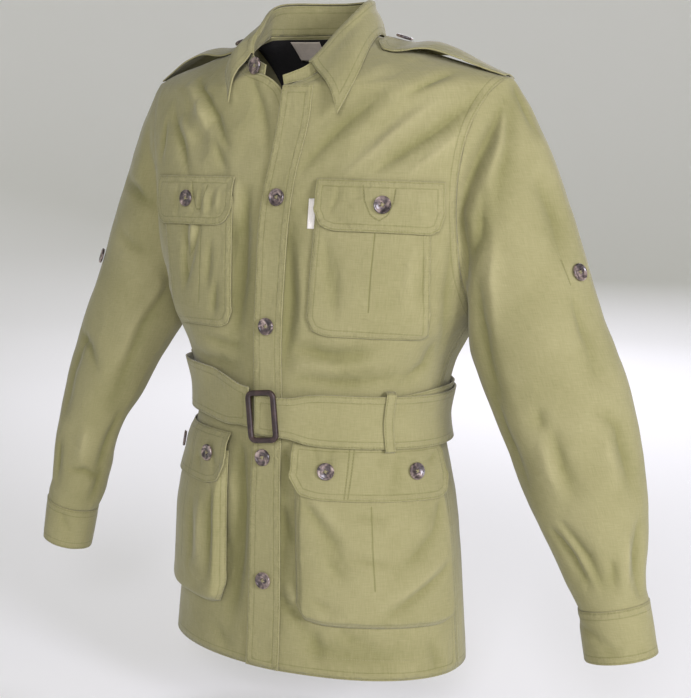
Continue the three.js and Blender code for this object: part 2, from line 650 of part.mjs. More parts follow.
// Collar: a row for each place along the neck, from the middle of the back to the
// front end, with the stand's roll line and the leaf's free edge
const COLLAR = [
  { along: 0, rollX: 0, rollY: 34, rollH: 743, edgeX: 0, edgeY: 62, edgeH: 700 },
  { along: 0.15, rollX: 22, rollY: 30, rollH: 743, edgeX: 29, edgeY: 55, edgeH: 700 },
  { along: 0.3, rollX: 40, rollY: 16, rollH: 742, edgeX: 51, edgeY: 35, edgeH: 701 },
  { along: 0.45, rollX: 52, rollY: -7, rollH: 739, edgeX: 66, edgeY: 6, edgeH: 702 },
  { along: 0.6, rollX: 58, rollY: -32, rollH: 732, edgeX: 76, edgeY: -28, edgeH: 700 },
  { along: 0.7, rollX: 55, rollY: -54, rollH: 716, edgeX: 82, edgeY: -60, edgeH: 685 },
  { along: 0.8, rollX: 44, rollY: -74, rollH: 694, edgeX: 88, edgeY: -98, edgeH: 652 },
  { along: 0.9, rollX: 28, rollY: -98, rollH: 663, edgeX: 78, edgeY: -124, edgeH: 608 },
  { along: 1, rollX: 3, rollY: -111, rollH: 650, edgeX: 78, edgeY: -124, edgeH: 608 },
];
const LEAF_END = 0.9;
const NECKLINE = [
  ...[0, 0.25, 0.5, 0.75].map((share) => yokeTop(share * NECK_SHARE)),
  ...[699.5, 680, 662, 650, 640].map((level) => front(0, level)),
];
const NECKLINE_ALONG = [0, 0.15, 0.3, 0.45, 0.6, 0.7, 0.8, 0.9, 1];

function neckline(along) {
  let i = 0;
  while (i < NECKLINE.length - 2 && NECKLINE_ALONG[i + 1] < along) i += 1;
  const span = NECKLINE_ALONG[i + 1] - NECKLINE_ALONG[i];
  return NECKLINE[i].clone().lerp(NECKLINE[i + 1], (along - NECKLINE_ALONG[i]) / span);
}

const POINT_TURNED_IN = vec(-19, 2, 13);
const POINT_FROM = 0.72;

// The right side falls open with its front, and its point is turned in
function collarRow(along) {
  const far = Math.abs(along);
  const row = lookUp(COLLAR, 'along', far);
  const seam = neckline(far);
  const roll = vec(row.rollX, row.rollY, row.rollH);
  const edge = vec(row.edgeX, row.edgeY, row.edgeH);
  const right = along < 0;
  if (right) {
    opened(roll);
    opened(seam);
    edge.add(POINT_TURNED_IN.clone().multiplyScalar(smooth(POINT_FROM, LEAF_END, far)));
  }
  const outward = edge.clone().sub(roll).setZ(0).normalize();
  const side = (p) => (right ? mirrored(p) : p);
  return { seam: side(seam), roll: side(roll), edge: side(edge), outward: side(outward) };
}

const BAND_PLACES = [
  0.075, 0.15, 0.225, 0.3, 0.375, 0.45, 0.525, 0.6, 0.65, 0.7, 0.75, 0.8, 0.85, 0.9, 0.95, 1,
];
const standColumns = [...BAND_PLACES.map((a) => -a).reverse(), 0, ...BAND_PLACES].reverse();
const standGrid = [0, 0.5, 1].map((w) => standColumns.map((along) => {
  const { seam, roll } = collarRow(along);
  return seam.clone().add(vec(0, 0, SEAM_GAP + 0.4)).lerp(roll, w);
}));
add('collar_stand', wall(standGrid, CLOTH), KHAKI);

// Collar leaf: over the top of the stand and down to its free edge
const leafColumns = standColumns.filter((along) => Math.abs(along) < LEAF_END + 0.01);
const LEAF_ROWS = [0, 0.08, 0.2, 0.4, 0.65, 1];
const leafGrid = LEAF_ROWS.map((w, i) => leafColumns.map((along) => {
  const { roll, edge, outward } = collarRow(along);
  if (i === 0) return roll.clone().addScaledVector(outward, -1.2).add(vec(0, 0, 2.8));
  if (i === 1) return roll.clone().addScaledVector(outward, 3.8).add(vec(0, 0, 1.2));
  const swell = lerp(3.2, 8, smooth(0.62, 0.85, Math.abs(along))) * Math.sin(Math.PI * w);
  return roll.clone().lerp(edge, w).addScaledVector(outward, swell).add(vec(0, 0, swell * 0.5));
})).reverse();
const leafPinned = (i) => (i === LEAF_ROWS.length - 1 ? vec(0, 0, 1) : null);
add('collar_leaf', wall(leafGrid, TWO_PLY, { pinned: leafPinned }), KHAKI);

// Shoulder straps, sewn in at the sleeve and arched over the shoulder seam
const STRAP = { from: 221, to: 84, tip: 96 };
const STRAP_ARCH = [
  { x: 70, lift: 3.4 }, { x: 104, lift: 4.4 }, { x: 116, lift: 6.4 }, { x: 138, lift: 13.5 },
  { x: 165, lift: 12 }, { x: 198, lift: 6 }, { x: 224, lift: 2.6 },
];

function strapPoint(x, across) {
  const forward = across < 0;
  const surface = forward ? front : yoke;
  const row = forward ? 699.5 + 24 * across : 0.9965 - 0.24 * across;
  const s = shareAt(surface, row, x);
  const lift = lookUp(STRAP_ARCH, 'x', x).lift;
  return surface(s, row).addScaledVector(SHOULDER_NORMAL, lift);
}

const strapGrid = steps(12, STRAP.from, STRAP.to).map((x) => {
  const narrow = x < STRAP.tip ? lerp(0.45, 0.85, (x - STRAP.to) / (STRAP.tip - STRAP.to)) : 0.9;
  return steps(6, -narrow, narrow).map((across) => strapPoint(x, across));
});
const strapPinned = () => SHOULDER_NORMAL;
add('epaulette_left', wall(strapGrid, TWO_PLY, { pinned: strapPinned }), KHAKI);
addMirrored('epaulette_right', strapGrid, TWO_PLY, { pinned: strapPinned });

// Pockets: patches whose side folds lift the front off the panel, and their flaps
const CHEST = {
  inTop: 53, inLow: 47, outTop: 174, outLow: 166, top: 520, bottom: 375, corner: 18,
  stand: 1.4, outStand: 1, flapTop: 541, flapLow: 487, flapIn: 52, flapOut: 184, flapCorner: 20,
};
const RIGHT_CHEST = { ...CHEST, outTop: 162, outLow: 148, flapOut: 170 };
const HIP = {
  inTop: 36, inLow: 40, outShare: 0.95, top: 236, bottom: 58, corner: 20,
  stand: 8, outStand: 1, flapTop: 257, flapLow: 197, flapIn: 33, flapShare: 0.965, flapCorner: 22,
};
const RIGHT_HIP = {
  ...HIP, inTop: 52, inLow: 54, flapIn: 49, outShare: 0.9, flapShare: 0.915, stand: 15, outStand: 0.3,
};

const rounding = (distance, radius) => {
  const inside = Math.max(0, 1 - distance / radius);
  return radius * (1 - Math.sqrt(1 - inside * inside));
};

function pocketPlace(kind, u, h) {
  const down = (kind.top - h) / (kind.top - kind.bottom);
  const start = shareAt(front, h, lerp(kind.inTop, kind.inLow, down));
  const end = kind.outShare ?? shareAt(front, h, lerp(kind.outTop, kind.outLow, down));
  return lerp(start, end, u);
}

// How far the pocket's front stands off, dropping to the panel at its sewn edges
function pocketStand(kind, u, h) {
  const down = (kind.top - h) / (kind.top - kind.bottom);
  const sides = smooth(0, 0.05, u) * smooth(0, 0.05, 1 - u);
  const foot = smooth(0, 0.05, 1 - down);
  const fuller = lerp(0.35, 1, smooth(0, 0.4, down));
  return CLOTH + PATCH_GAP + kind.stand * lerp(1, kind.outStand, u) * sides * foot * fuller;
}

const lapFree = (s, level, lift) => {
  const p = front(s, level);
  return p.addScaledVector(normalOn(front, s, level), lift);
};

const POCKET_COLUMNS = [0, 0.045, 0.14, 0.3, 0.5, 0.7, 0.86, 0.955, 1];
const POCKET_DOWN = [0, 0.12, 0.27, 0.42, 0.57, 0.72, 0.86, 0.955, 1];

function pocketWide(kind) {
  return front(pocketPlace(kind, 1, kind.bottom + 60), kind.bottom + 60)
    .distanceTo(front(pocketPlace(kind, 0, kind.bottom + 60), kind.bottom + 60));
}

function pocketGrid(kind, place) {
  const wide = pocketWide(kind);
  return POCKET_DOWN.map((down) => POCKET_COLUMNS.map((u) => {
    const corner = rounding(Math.min(u, 1 - u) * wide, kind.corner);
    const h = lerp(kind.top, kind.bottom + corner, down);
    const level = lerp(kind.top, kind.bottom, down);
    return place(pocketPlace(kind, u, h), h, pocketStand(kind, u, level));
  })).reverse();
}

const FLAP_DOWN = [0, 0.16, 0.36, 0.6, 0.82, 1];
const FLAP_COLUMNS = [0, 0.05, 0.14, 0.3, 0.5, 0.7, 0.86, 0.95, 1];

function flapPlace(kind, u, down) {
  const corner = rounding(Math.min(u, 1 - u) * pocketWide(kind), kind.flapCorner);
  const h = lerp(kind.flapTop, kind.flapLow + corner, down);
  const start = shareAt(front, h, kind.flapIn);
  const end = kind.flapShare ?? shareAt(front, h, kind.flapOut);
  return { s: lerp(start, end, u), h };
}

function flapLift(kind, u, down) {
  const over = smooth(0, 0.3, down);
  const level = lerp(kind.flapTop, kind.flapLow, down);
  const middle = THREE.MathUtils.clamp(u, 0.1, 0.9);
  const below = pocketStand(kind, middle, Math.min(level, kind.top));
  return TWO_PLY + PATCH_GAP + over * below;
}

function flapGrid(kind, place) {
  return FLAP_DOWN.map((down) => FLAP_COLUMNS.map((u) => {
    const { s, h } = flapPlace(kind, u, down);
    return place(s, h, flapLift(kind, u, down));
  })).reverse();
}

add('chest_pocket_left', wall(pocketGrid(CHEST, offFront), CLOTH), KHAKI);
add('chest_flap_left', wall(flapGrid(CHEST, offFront), TWO_PLY), KHAKI);
add('hip_pocket_left', wall(pocketGrid(HIP, offFront), CLOTH), KHAKI);
add('hip_flap_left', wall(flapGrid(HIP, offFront), TWO_PLY), KHAKI);
addMirrored('chest_pocket_right', pocketGrid(RIGHT_CHEST, lapFree), CLOTH);
addMirrored('chest_flap_right', flapGrid(RIGHT_CHEST, lapFree), TWO_PLY);
addMirrored('hip_pocket_right', pocketGrid(RIGHT_HIP, lapFree), CLOTH);
addMirrored('hip_flap_right', flapGrid(RIGHT_HIP, lapFree), TWO_PLY);

// Belt: a straight band round the waist. One end comes through the buckle and stops
// inside its window; the other is folded round the buckle's far bar.
const BELT_LIFT = 6.6;
const TAIL_LIFT = 5;
const BELT_START = -10;
const BELT_END = -17;

function waist(turn, level = BELT_HEIGHT) {
  const way = (surface, s) => {
    const p = surface(s, level);
    const normal = normalOn(surface, s, level);
    return { p, normal: surface === back ? normal.negate() : normal };
  };
  if (turn <= 1) return way(front, turn);
  if (turn <= 3) return way(back, 2 - turn);
  const { p, normal } = way(front, 4 - turn);
  return { p: mirrored(p), normal: mirrored(normal) };
}

// Turn 0 is the middle of the front, 1 the left side, 2 the back and 3 the right side
const beltStart = shareAt(front, BELT_HEIGHT, BELT_START);
const beltEnd = 4 - shareAt(front, BELT_HEIGHT, -BELT_END);
const beltTurns = [
  beltStart, 0, 0.06, 0.13, 0.21, 0.3, 0.4, 0.5, 0.6, 0.7, 0.8, 0.9, 1, 1.12, 1.26, 1.42, 1.6, 1.8,
  2, 2.2, 2.4, 2.58, 2.74, 2.88, 3, 3.1, 3.2, 3.3, 3.4, 3.5, 3.6, 3.7, 3.8, 3.87, beltEnd,
];

// The belt sits higher on the wearer's right, and drops to the buckle
const BELT_RISE = [
  { turn: -1, rise: 0 }, { turn: 0, rise: 0 }, { turn: 1, rise: 0 }, { turn: 2, rise: 9 },
  { turn: 3, rise: 19 }, { turn: 3.6, rise: 18 }, { turn: 3.85, rise: 10 }, { turn: 4.1, rise: 3 },
];

// Near the buckle the belt stands off the body, over the frame's bar
const ON_BAR = 3.2;

// A point outside the waist, up from the middle of the belt
function beltOuter(turn, lift, up = 0) {
  const level = BELT_HEIGHT + lookUp(BELT_RISE, 'turn', turn).rise + up;
  const { p, normal } = waist(turn, level);
  const fromBuckle = Math.min(Math.abs(turn), Math.abs(4 - turn));
  const onBar = ON_BAR * (1 - smooth(0.1, 0.32, fromBuckle));
  return p.addScaledVector(normal.setZ(0).normalize(), lift + onBar);
}

const beltHalf = (turn) => {
  const fromBuckle = Math.min(Math.abs(turn), Math.abs(4 - turn));
  return lerp(BELT_WIDTH_IN_BUCKLE, BELT_WIDTH, smooth(0.1, 0.26, fromBuckle)) / 2;
};
const beltGrid = [-1, 0, 1].map((w) => beltTurns.map((turn) => (
  beltOuter(turn, BELT_LIFT + BELT_THICKNESS, w * beltHalf(turn)))));
add('belt', wall(beltGrid, BELT_THICKNESS), KHAKI);

// The belt's free end carries on beneath it and shows above its edge at the left side
const TAIL_RISE = 9;
const tailTurns = beltTurns.filter((turn) => turn > 0.49 && turn < 1.5);
const tailGrid = [-1, 0, 1].map((w) => tailTurns.map((turn) => {
  const rise = TAIL_RISE * smooth(0.5, 1, turn);
  return beltOuter(turn, TAIL_LIFT, w * (BELT_WIDTH / 2 - 3) + rise + 1);
}));
add('belt_tail', wall(tailGrid, CLOTH), KHAKI);

// Belt loops: each a strap over the belt with its ends sewn to the cloth
const LOOPS = [
  { name: 'left_front', turn: 0.6 }, { name: 'left_back', turn: 1.6 },
  { name: 'right_back', turn: 2.4 }, { name: 'right_side', turn: 3.08 },
];
const OVER_BELT = BELT_LIFT + BELT_THICKNESS + CLOTH + 0.8;
const WAIST_QUARTER = 250;
const LOOP_HALF_TURN = LOOP_WIDTH / 2 / WAIST_QUARTER;
const LOOP_ROWS = [
  { up: -33, lift: 5.6 }, { up: -30.6, lift: OVER_BELT - 0.4 }, { up: 0, lift: OVER_BELT },
  { up: 31, lift: OVER_BELT - 0.4 }, { up: 34, lift: 3 },
];
for (const { name, turn } of LOOPS) {
  const grid = LOOP_ROWS.map(({ up, lift }) => (
    [-1, 0, 1].map((side) => beltOuter(turn + side * LOOP_HALF_TURN, lift, up))));
  add(`belt_loop_${name}`, wall(grid, CLOTH), KHAKI);
}

// Buckle: a frame with round corners, and a bar behind the belt in its middle
const wasm = await Module();
wasm.setup();

function manifoldOf(geometry) {
  const bare = geometry.clone();
  bare.deleteAttribute('normal');
  bare.deleteAttribute('uv');
  const merged = mergeVertices(bare, 1e-4);
  const vertProperties = new Float32Array(merged.attributes.position.array);
  const triVerts = new Uint32Array(merged.index.array);
  return new wasm.Manifold(new wasm.Mesh({ numProp: 3, vertProperties, triVerts }));
}

function geometryOf(manifold) {
  const { vertProperties, triVerts } = manifold.getMesh();
  const geometry = new THREE.BufferGeometry();
  geometry.setAttribute('position', new THREE.BufferAttribute(vertProperties, 3));
  geometry.setIndex(new THREE.BufferAttribute(triVerts, 1));
  return geometry;
}

function roundedRect(target, wide, high, radius) {
  const x = wide / 2 - radius;
  const y = high / 2 - radius;
  target.absarc(x, y, radius, 0, Math.PI / 2);
  target.absarc(-x, y, radius, Math.PI / 2, Math.PI);
  target.absarc(-x, -y, radius, Math.PI, 1.5 * Math.PI);
  target.absarc(x, -y, radius, 1.5 * Math.PI, 2 * Math.PI);
  return target;
}

function buckleGeometry() {
  const { wide, high, bar, deep, corner } = BUCKLE;
  const outline = roundedRect(new THREE.Shape(), wide, high, corner);
  outline.holes.push(roundedRect(new THREE.Path(), wide - 2 * bar, high - 2 * bar, corner - 4));
  const frame = new THREE.ExtrudeGeometry(outline, {
    depth: deep - 1.6, bevelThickness: 0.8, bevelSize: 0.8, bevelOffset: -0.8, bevelSegments: 1,
    curveSegments: 3,
  });
  frame.translate(0, 0, 0.8);
  const behind = BELT_THICKNESS + 4 * PLY_GAP;
  const barDeep = 2;
  const rod = new THREE.BoxGeometry(5, high - bar, barDeep);
  rod.translate(0, 0, -behind - barDeep / 2);
  const post = new THREE.BoxGeometry(5, 3, behind + barDeep + 1);
  const postUp = post.clone().translate(0, (high - bar) / 2 - 1.5, (1 - behind - barDeep) / 2);
  const postDown = post.clone().translate(0, -(high - bar) / 2 + 1.5, (1 - behind - barDeep) / 2);
  const joined = manifoldOf(frame).add(manifoldOf(rod)).add(manifoldOf(postUp))
    .add(manifoldOf(postDown));
  const geometry = geometryOf(joined);
  geometry.rotateX(Math.PI / 2);
  geometry.rotateY(radians(-BUCKLE.tilt));
  const seat = beltOuter(0, BELT_LIFT + BELT_THICKNESS + 2 * PLY_GAP);
  geometry.translate(BUCKLE.x, seat.y, BELT_HEIGHT);
  return geometry;
}
add('belt_buckle', buckleGeometry(), DARK_HORN, 0.35);

// Buttons: turned discs with a raised rim
const BUTTON_PROFILE = [
  { r: 0, up: 0 }, { r: 0.98, up: 0.1 }, { r: 1, up: 0.7 }, { r: 0.85, up: 1 }, { r: 0, up: 0.8 },
];

function addButton(name, point, normal) {
  const profile = BUTTON_PROFILE.map(({ r, up }) => (
    new THREE.Vector2(r * BUTTON_RADIUS, up * BUTTON_THICKNESS)));
  const geometry = new THREE.LatheGeometry(profile, 12);
  const turned = new THREE.Quaternion().setFromUnitVectors(vec(0, 1, 0), normal);
  geometry.applyQuaternion(turned);
  const seat = point.clone().addScaledVector(normal, BUTTON_SHANK);
  geometry.translate(seat.x, seat.y, seat.z);
  add(name, geometry, HORN, 0.35);
}

const PLACKET_BUTTONS = [{ x: 6, h: 520 }, { x: 1, h: 381 }, { x: -2, h: 236 }, { x: 0, h: 99 }];
PLACKET_BUTTONS.forEach(({ x, h }, i) => {
  const s = shareAt(front, h, x);
  const point = front(s, h);
  point.y -= lap(x) + PLACKET_LIFT;
  addButton(`button_front_${i + 1}`, point, normalOn(front, 0.01, h));
});

function flapButton(name, kind, u, down, place, side) {
  const { s, h } = flapPlace(kind, u, down);
  const point = place(s, h, flapLift(kind, u, down));
  addButton(name, side(point), side(normalOn(front, s, h)));
}
flapButton('button_chest_left', CHEST, 0.5, 0.47, offFront, same);
flapButton('button_chest_right', RIGHT_CHEST, 0.5, 0.47, lapFree, mirrored);
[0.19, 0.72].forEach((u, i) => {
  flapButton(`button_hip_left_${i + 1}`, HIP, u, 0.48, offFront, same);
  flapButton(`button_hip_right_${i + 1}`, RIGHT_HIP, u - 0.02, 0.45, lapFree, mirrored);
});

const strapSeat = strapPoint(102, 0).addScaledVector(SHOULDER_NORMAL, 0.5);
addButton('button_epaulette_left', strapSeat, SHOULDER_NORMAL);
addButton('button_epaulette_right', mirrored(strapSeat), mirrored(SHOULDER_NORMAL));

// A round sleeve curves away under the flat button, which sinks a little towards it
function sleeveButton(name, { rings, at, turn, sink }, side, point = sleevePoint) {
  const seat = point(rings, at, turn);
  const around = point(rings, at, turn + 4).sub(point(rings, at, turn - 4));
  const down = point(rings, at + 0.05, turn).sub(point(rings, at - 0.05, turn));
  const normal = around.cross(down).normalize();
  const middle = point(rings, at, turn + 180);
  if (normal.dot(seat.clone().sub(middle)) < 0) normal.negate();
  addButton(name, side(seat.addScaledVector(normal, -sink)), side(normal));
}
const onCuff = (rings, at, turn) => ringPoint(lookUp(rings, 'at', at), turn);
const TAB_LEFT = { rings: SLEEVE_RINGS, at: 0.82, turn: 15, sink: 1.1 };
const TAB_RIGHT = { rings: RIGHT_RINGS, at: 0.84, turn: 36, sink: 0.5 };
sleeveButton('button_tab_left', TAB_LEFT, same);
sleeveButton('button_tab_right', TAB_RIGHT, mirrored);
const CUFF_BUTTON = { at: 9.6, turn: 285, sink: 0.4 };
sleeveButton('button_cuff_left', { rings: CUFF_RINGS, ...CUFF_BUTTON }, same, onCuff);
sleeveButton('button_cuff_right', { rings: RIGHT_CUFF, ...CUFF_BUTTON }, mirrored, onCuff);

const BAND_BUTTON = -0.95;
const band = collarRow(BAND_BUTTON);
const bandPoint = band.seam.clone().lerp(band.roll, 0.5).add(vec(0, -2.4, 0));
addButton('button_neckband', bandPoint, vec(-0.35, -0.93, 0.1).normalize());

// Bare labels behind the neck and at the edge of the left chest pocket
function onLining(s, rise, lift) {
  const find = (list, value) => {
    let i = 0;
    while (i < list.length - 2 && list[i + 1] < value) i += 1;
    return { i, t: (value - list[i]) / (list[i + 1] - list[i]) };
  };
  const columns = [...liningColumns].reverse();
  const across = find(columns, s);
  const up = find(LINING_RISES, rise);
  const node = (i, j) => {
    const at = columns.length - 1 - j;
    return liningOuter[i][at].clone().addScaledVector(liningNormals[i][at], -1 - lift);
  };
  const low = node(up.i, across.i).lerp(node(up.i, across.i + 1), across.t);
  const high = node(up.i + 1, across.i).lerp(node(up.i + 1, across.i + 1), across.t);
  return low.lerp(high, up.t);
}

function neckLabel(name, from, to, long, color) {
  const rises = steps(3, 0.955 - long, 0.955);
  const grid = rises.map((rise) => steps(5, to, from).map((s) => onLining(s, rise, 1.2)));
  add(name, wall(grid, 0.7), color);
}
neckLabel('label_neck', -0.275, -0.14, 0.22, LABEL);
neckLabel('label_size', -0.09, 0.06, 0.12, WHITE);
const tagGrid = steps(3, 488, 520).map((h) => [43, 47, 51].map((x) => (
  offFront(shareAt(front, h, x), h, 0.7 + PLY_GAP))));
add('label_pocket', wall(tagGrid, 0.7), WHITE);

export default jacket;
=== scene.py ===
import math

import bmesh
import bpy
import numpy as np
from mathutils import Matrix, Vector, noise
from mathutils.bvhtree import BVHTree
from mathutils.kdtree import KDTree


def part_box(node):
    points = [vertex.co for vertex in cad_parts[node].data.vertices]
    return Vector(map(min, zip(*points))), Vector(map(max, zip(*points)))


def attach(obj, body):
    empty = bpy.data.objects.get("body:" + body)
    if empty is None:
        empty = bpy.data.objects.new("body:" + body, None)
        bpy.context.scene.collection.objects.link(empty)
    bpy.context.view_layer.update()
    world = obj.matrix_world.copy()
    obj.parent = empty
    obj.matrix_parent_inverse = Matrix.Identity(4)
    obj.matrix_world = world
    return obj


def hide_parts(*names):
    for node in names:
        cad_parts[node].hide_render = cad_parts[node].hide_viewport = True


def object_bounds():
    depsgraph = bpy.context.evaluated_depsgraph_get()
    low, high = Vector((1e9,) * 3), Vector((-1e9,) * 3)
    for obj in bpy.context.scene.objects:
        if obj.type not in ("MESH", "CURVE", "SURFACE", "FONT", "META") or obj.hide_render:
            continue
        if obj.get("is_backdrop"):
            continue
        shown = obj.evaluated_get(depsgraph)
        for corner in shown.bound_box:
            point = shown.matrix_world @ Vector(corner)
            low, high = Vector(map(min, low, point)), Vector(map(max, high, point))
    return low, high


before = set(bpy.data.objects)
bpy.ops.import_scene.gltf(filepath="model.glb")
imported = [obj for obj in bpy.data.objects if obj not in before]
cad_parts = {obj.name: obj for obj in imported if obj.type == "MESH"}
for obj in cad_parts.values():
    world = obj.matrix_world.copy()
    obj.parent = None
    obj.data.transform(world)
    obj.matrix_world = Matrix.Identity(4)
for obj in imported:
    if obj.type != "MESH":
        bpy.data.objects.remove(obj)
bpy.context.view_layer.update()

MM = 0.001

# Camera: a little above the chest, at the wearer's left front, and tilted slightly,
# so that the jacket stands in the frame as in the photograph.
CAMERA_AT = Vector((736.4, -1306.8, -172.0)) * MM
CAMERA_TURN, CAMERA_DOWN, CAMERA_ROLL = (math.radians(a) for a in (28.37, 6.52, 1.94))
ahead = Vector((-math.sin(CAMERA_TURN) * math.cos(CAMERA_DOWN),
                math.cos(CAMERA_TURN) * math.cos(CAMERA_DOWN), -math.sin(CAMERA_DOWN)))
level_right = Vector((math.cos(CAMERA_TURN), math.sin(CAMERA_TURN), 0))
level_up = level_right.cross(ahead)
right = level_right * math.cos(CAMERA_ROLL) + level_up * math.sin(CAMERA_ROLL)
up = right.cross(ahead)
camera = bpy.data.objects.new("camera", bpy.data.cameras.new("camera"))
bpy.context.scene.collection.objects.link(camera)
camera.matrix_world = Matrix.Translation(CAMERA_AT) @ Matrix((right, up, -ahead)).transposed().to_4x4()
camera.data.sensor_width = 36
camera.data.lens = 66.5
camera.data.clip_start = 0.05
bpy.context.scene.camera = camera

# Front panels: washed cotton poplin in sage khaki, cut in two and filled out by wear.
# Each is a thin sheet laid on its solid's outer side, with listed folds pressed in, and sewn at its seams
# with two rows of stitches.
ROUND_CORNER = math.cos(math.radians(40))
THICKEST = 1.6
FOLD_REACH, FOLD_ENDS, FOLD_SPAN = 2.6, 0.12, 0.76
ROOM, LEAST_GAP = 12 * MM, 0.6 * MM
WIDE_ROWS, CLOSE_ROWS, HEM_ROW = (1.7, 7.8), (1.7, 6.5), (22,)
RIM_PITCH, LEAST_OFF_RIM = 0.6 * MM, 0.86
FAR_FROM_RIM = 0.1


def sides_of(faces):
    return np.concatenate([faces[:, [0, 1]], faces[:, [1, 2]], faces[:, [2, 0]]])


def run_along(stops):
    """How far along the line each of its points lies."""
    return np.concatenate([[0], np.cumsum(np.linalg.norm(np.diff(stops, axis=0), axis=1))])


def between(at, run, stops):
    """The places on a line at the given distances along it."""
    return np.stack([np.interp(at, run, stops[:, k]) for k in range(3)], 1)


def cloth_normals(points, faces):
    a, b, c = points[faces[:, 0]], points[faces[:, 1]], points[faces[:, 2]]
    across = np.cross(b - a, c - a)
    total = np.zeros_like(points)
    for corner in range(3):
        np.add.at(total, faces[:, corner], across)
    return total / np.maximum(np.linalg.norm(total, axis=1, keepdims=True), 1e-12)


def outer_side(node, sharp=0.5):
    """Points and triangles of a cloth wall's outer side: its rims go, the larger side stays."""
    mesh = bmesh.new()
    mesh.from_mesh(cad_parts[node].data)
    bmesh.ops.remove_doubles(mesh, verts=mesh.verts, dist=0.01 * MM)
    bmesh.ops.triangulate(mesh, faces=mesh.faces)
    tree = BVHTree.FromBMesh(mesh)
    depths = []
    for face in mesh.faces:
        start = face.calc_center_median() - face.normal * 0.01 * MM
        depths.append(tree.ray_cast(start, -face.normal)[3] or 1.0)
    wall = np.median(depths)
    bmesh.ops.delete(mesh, geom=[face for face, depth in zip(mesh.faces, depths) if depth > THICKEST * wall],
                     context="FACES_ONLY")
    left, sides = set(mesh.faces), []
    while left:
        side, ready = [], [left.pop()]
        while ready:
            face = ready.pop()
            side.append(face)
            for edge in face.edges:
                for other in edge.link_faces:
                    if other in left and other.normal.dot(face.normal) > sharp:
                        left.remove(other)
                        ready.append(other)
        sides.append(side)
    side = max(sides, key=lambda faces: sum(face.calc_area() for face in faces))
    used = sorted({v.index for face in side for v in face.verts})
    mesh.verts.ensure_lookup_table()
    place = {index: i for i, index in enumerate(used)}
    points = np.array([mesh.verts[i].co for i in used])
    faces = np.array([[place[v.index] for v in face.verts] for face in side])
    mesh.free()
    return points, faces


def rim_edges(faces):
    """Directed edges with cloth on one side only, as next[start] = end."""
    edges = sides_of(faces)
    known = {(a, b) for a, b in edges.tolist()}
    return {a: b for a, b in known if (b, a) not in known}


def halved(points, faces):
    """Splits every triangle in four, with the new points on the rounded surface."""
    normals = cloth_normals(points, faces)
    edges = sides_of(faces)
    pairs, spot = np.unique(np.sort(edges, axis=1), axis=0, return_inverse=True)
    spot = spot.reshape(3, -1) + len(points)
    a, b = points[pairs[:, 0]], points[pairs[:, 1]]
    middle = (a + b) / 2
    for end, normal in ((a, normals[pairs[:, 0]]), (b, normals[pairs[:, 1]])):
        middle = middle - 0.25 * ((middle - end) * normal).sum(1)[:, None] * normal
    after = rim_edges(faces)
    before = {b: a for a, b in after.items()}
    row = {tuple(pair): i for i, pair in enumerate(pairs.tolist())}
    for start, end in after.items():
        p, q = points[start], points[end]
        outer = []
        for near, far, beyond in ((p, q, before.get(start)), (q, p, after.get(end))):
            reach = near - points[beyond] if beyond is not None else near - far
            bend = reach.dot(far - near) / (np.linalg.norm(reach) * np.linalg.norm(far - near) + 1e-12)
            outer.append(points[beyond] if beyond is not None and bend > ROUND_CORNER else 2 * near - far)
        middle[row[tuple(sorted((start, end)))]] = (9 * (p + q) - outer[0] - outer[1]) / 16
    i, j, k = faces.T
    ij, jk, ki = spot
    new = np.concatenate([np.stack(t, 1) for t in ((i, ij, ki), (ij, j, jk), (ki, jk, k), (ij, jk, ki))])
    return np.concatenate([points, middle]), new


def eased(points, faces, times, strength=0.5):
    """Evens out facets, with the rim held where it is."""
    edges = np.unique(np.sort(sides_of(faces), axis=1), axis=0)
    free = np.ones(len(points), bool)
    free[list(rim_edges(faces))] = False
    count = np.bincount(edges.ravel(), minlength=len(points))[:, None]
    for step in range(times):
        total = np.zeros_like(points)
        np.add.at(total, edges[:, 0], points[edges[:, 1]])
        np.add.at(total, edges[:, 1], points[edges[:, 0]])
        pull = strength if step % 2 == 0 else -strength * 0.94
        points = np.where(free[:, None], points + pull * (total / count - points), points)
    return points


def rim_samples(points, faces, pitch):
    """Places every pitch along the rims: point, direction along the rim, and normal."""
    after = rim_edges(faces)
    normals = cloth_normals(points, faces)
    left = set(after)
    places = []
    while left:
        start = min(left)
        loop = [start]
        left.discard(start)
        while after.get(loop[-1]) in left:
            loop.append(after[loop[-1]])
            left.discard(loop[-1])
        loop.append(start)
        line = points[loop]
        length = run_along(line)
        at = np.arange(0, length[-1], pitch)
        spots = between(at, length, line)
        ends = between((at + pitch) % length[-1], length, line)
        facing = between(at, length, normals[loop])
        along = ends - spots
        along /= np.maximum(np.linalg.norm(along, axis=1, keepdims=True), 1e-9)
        places.append(np.concatenate([spots, along, facing], 1))
    return np.concatenate(places)


def tree_of(spots):
    tree = KDTree(len(spots))
    for i, spot in enumerate(spots):
        tree.insert(spot, i)
    tree.balance()
    return tree


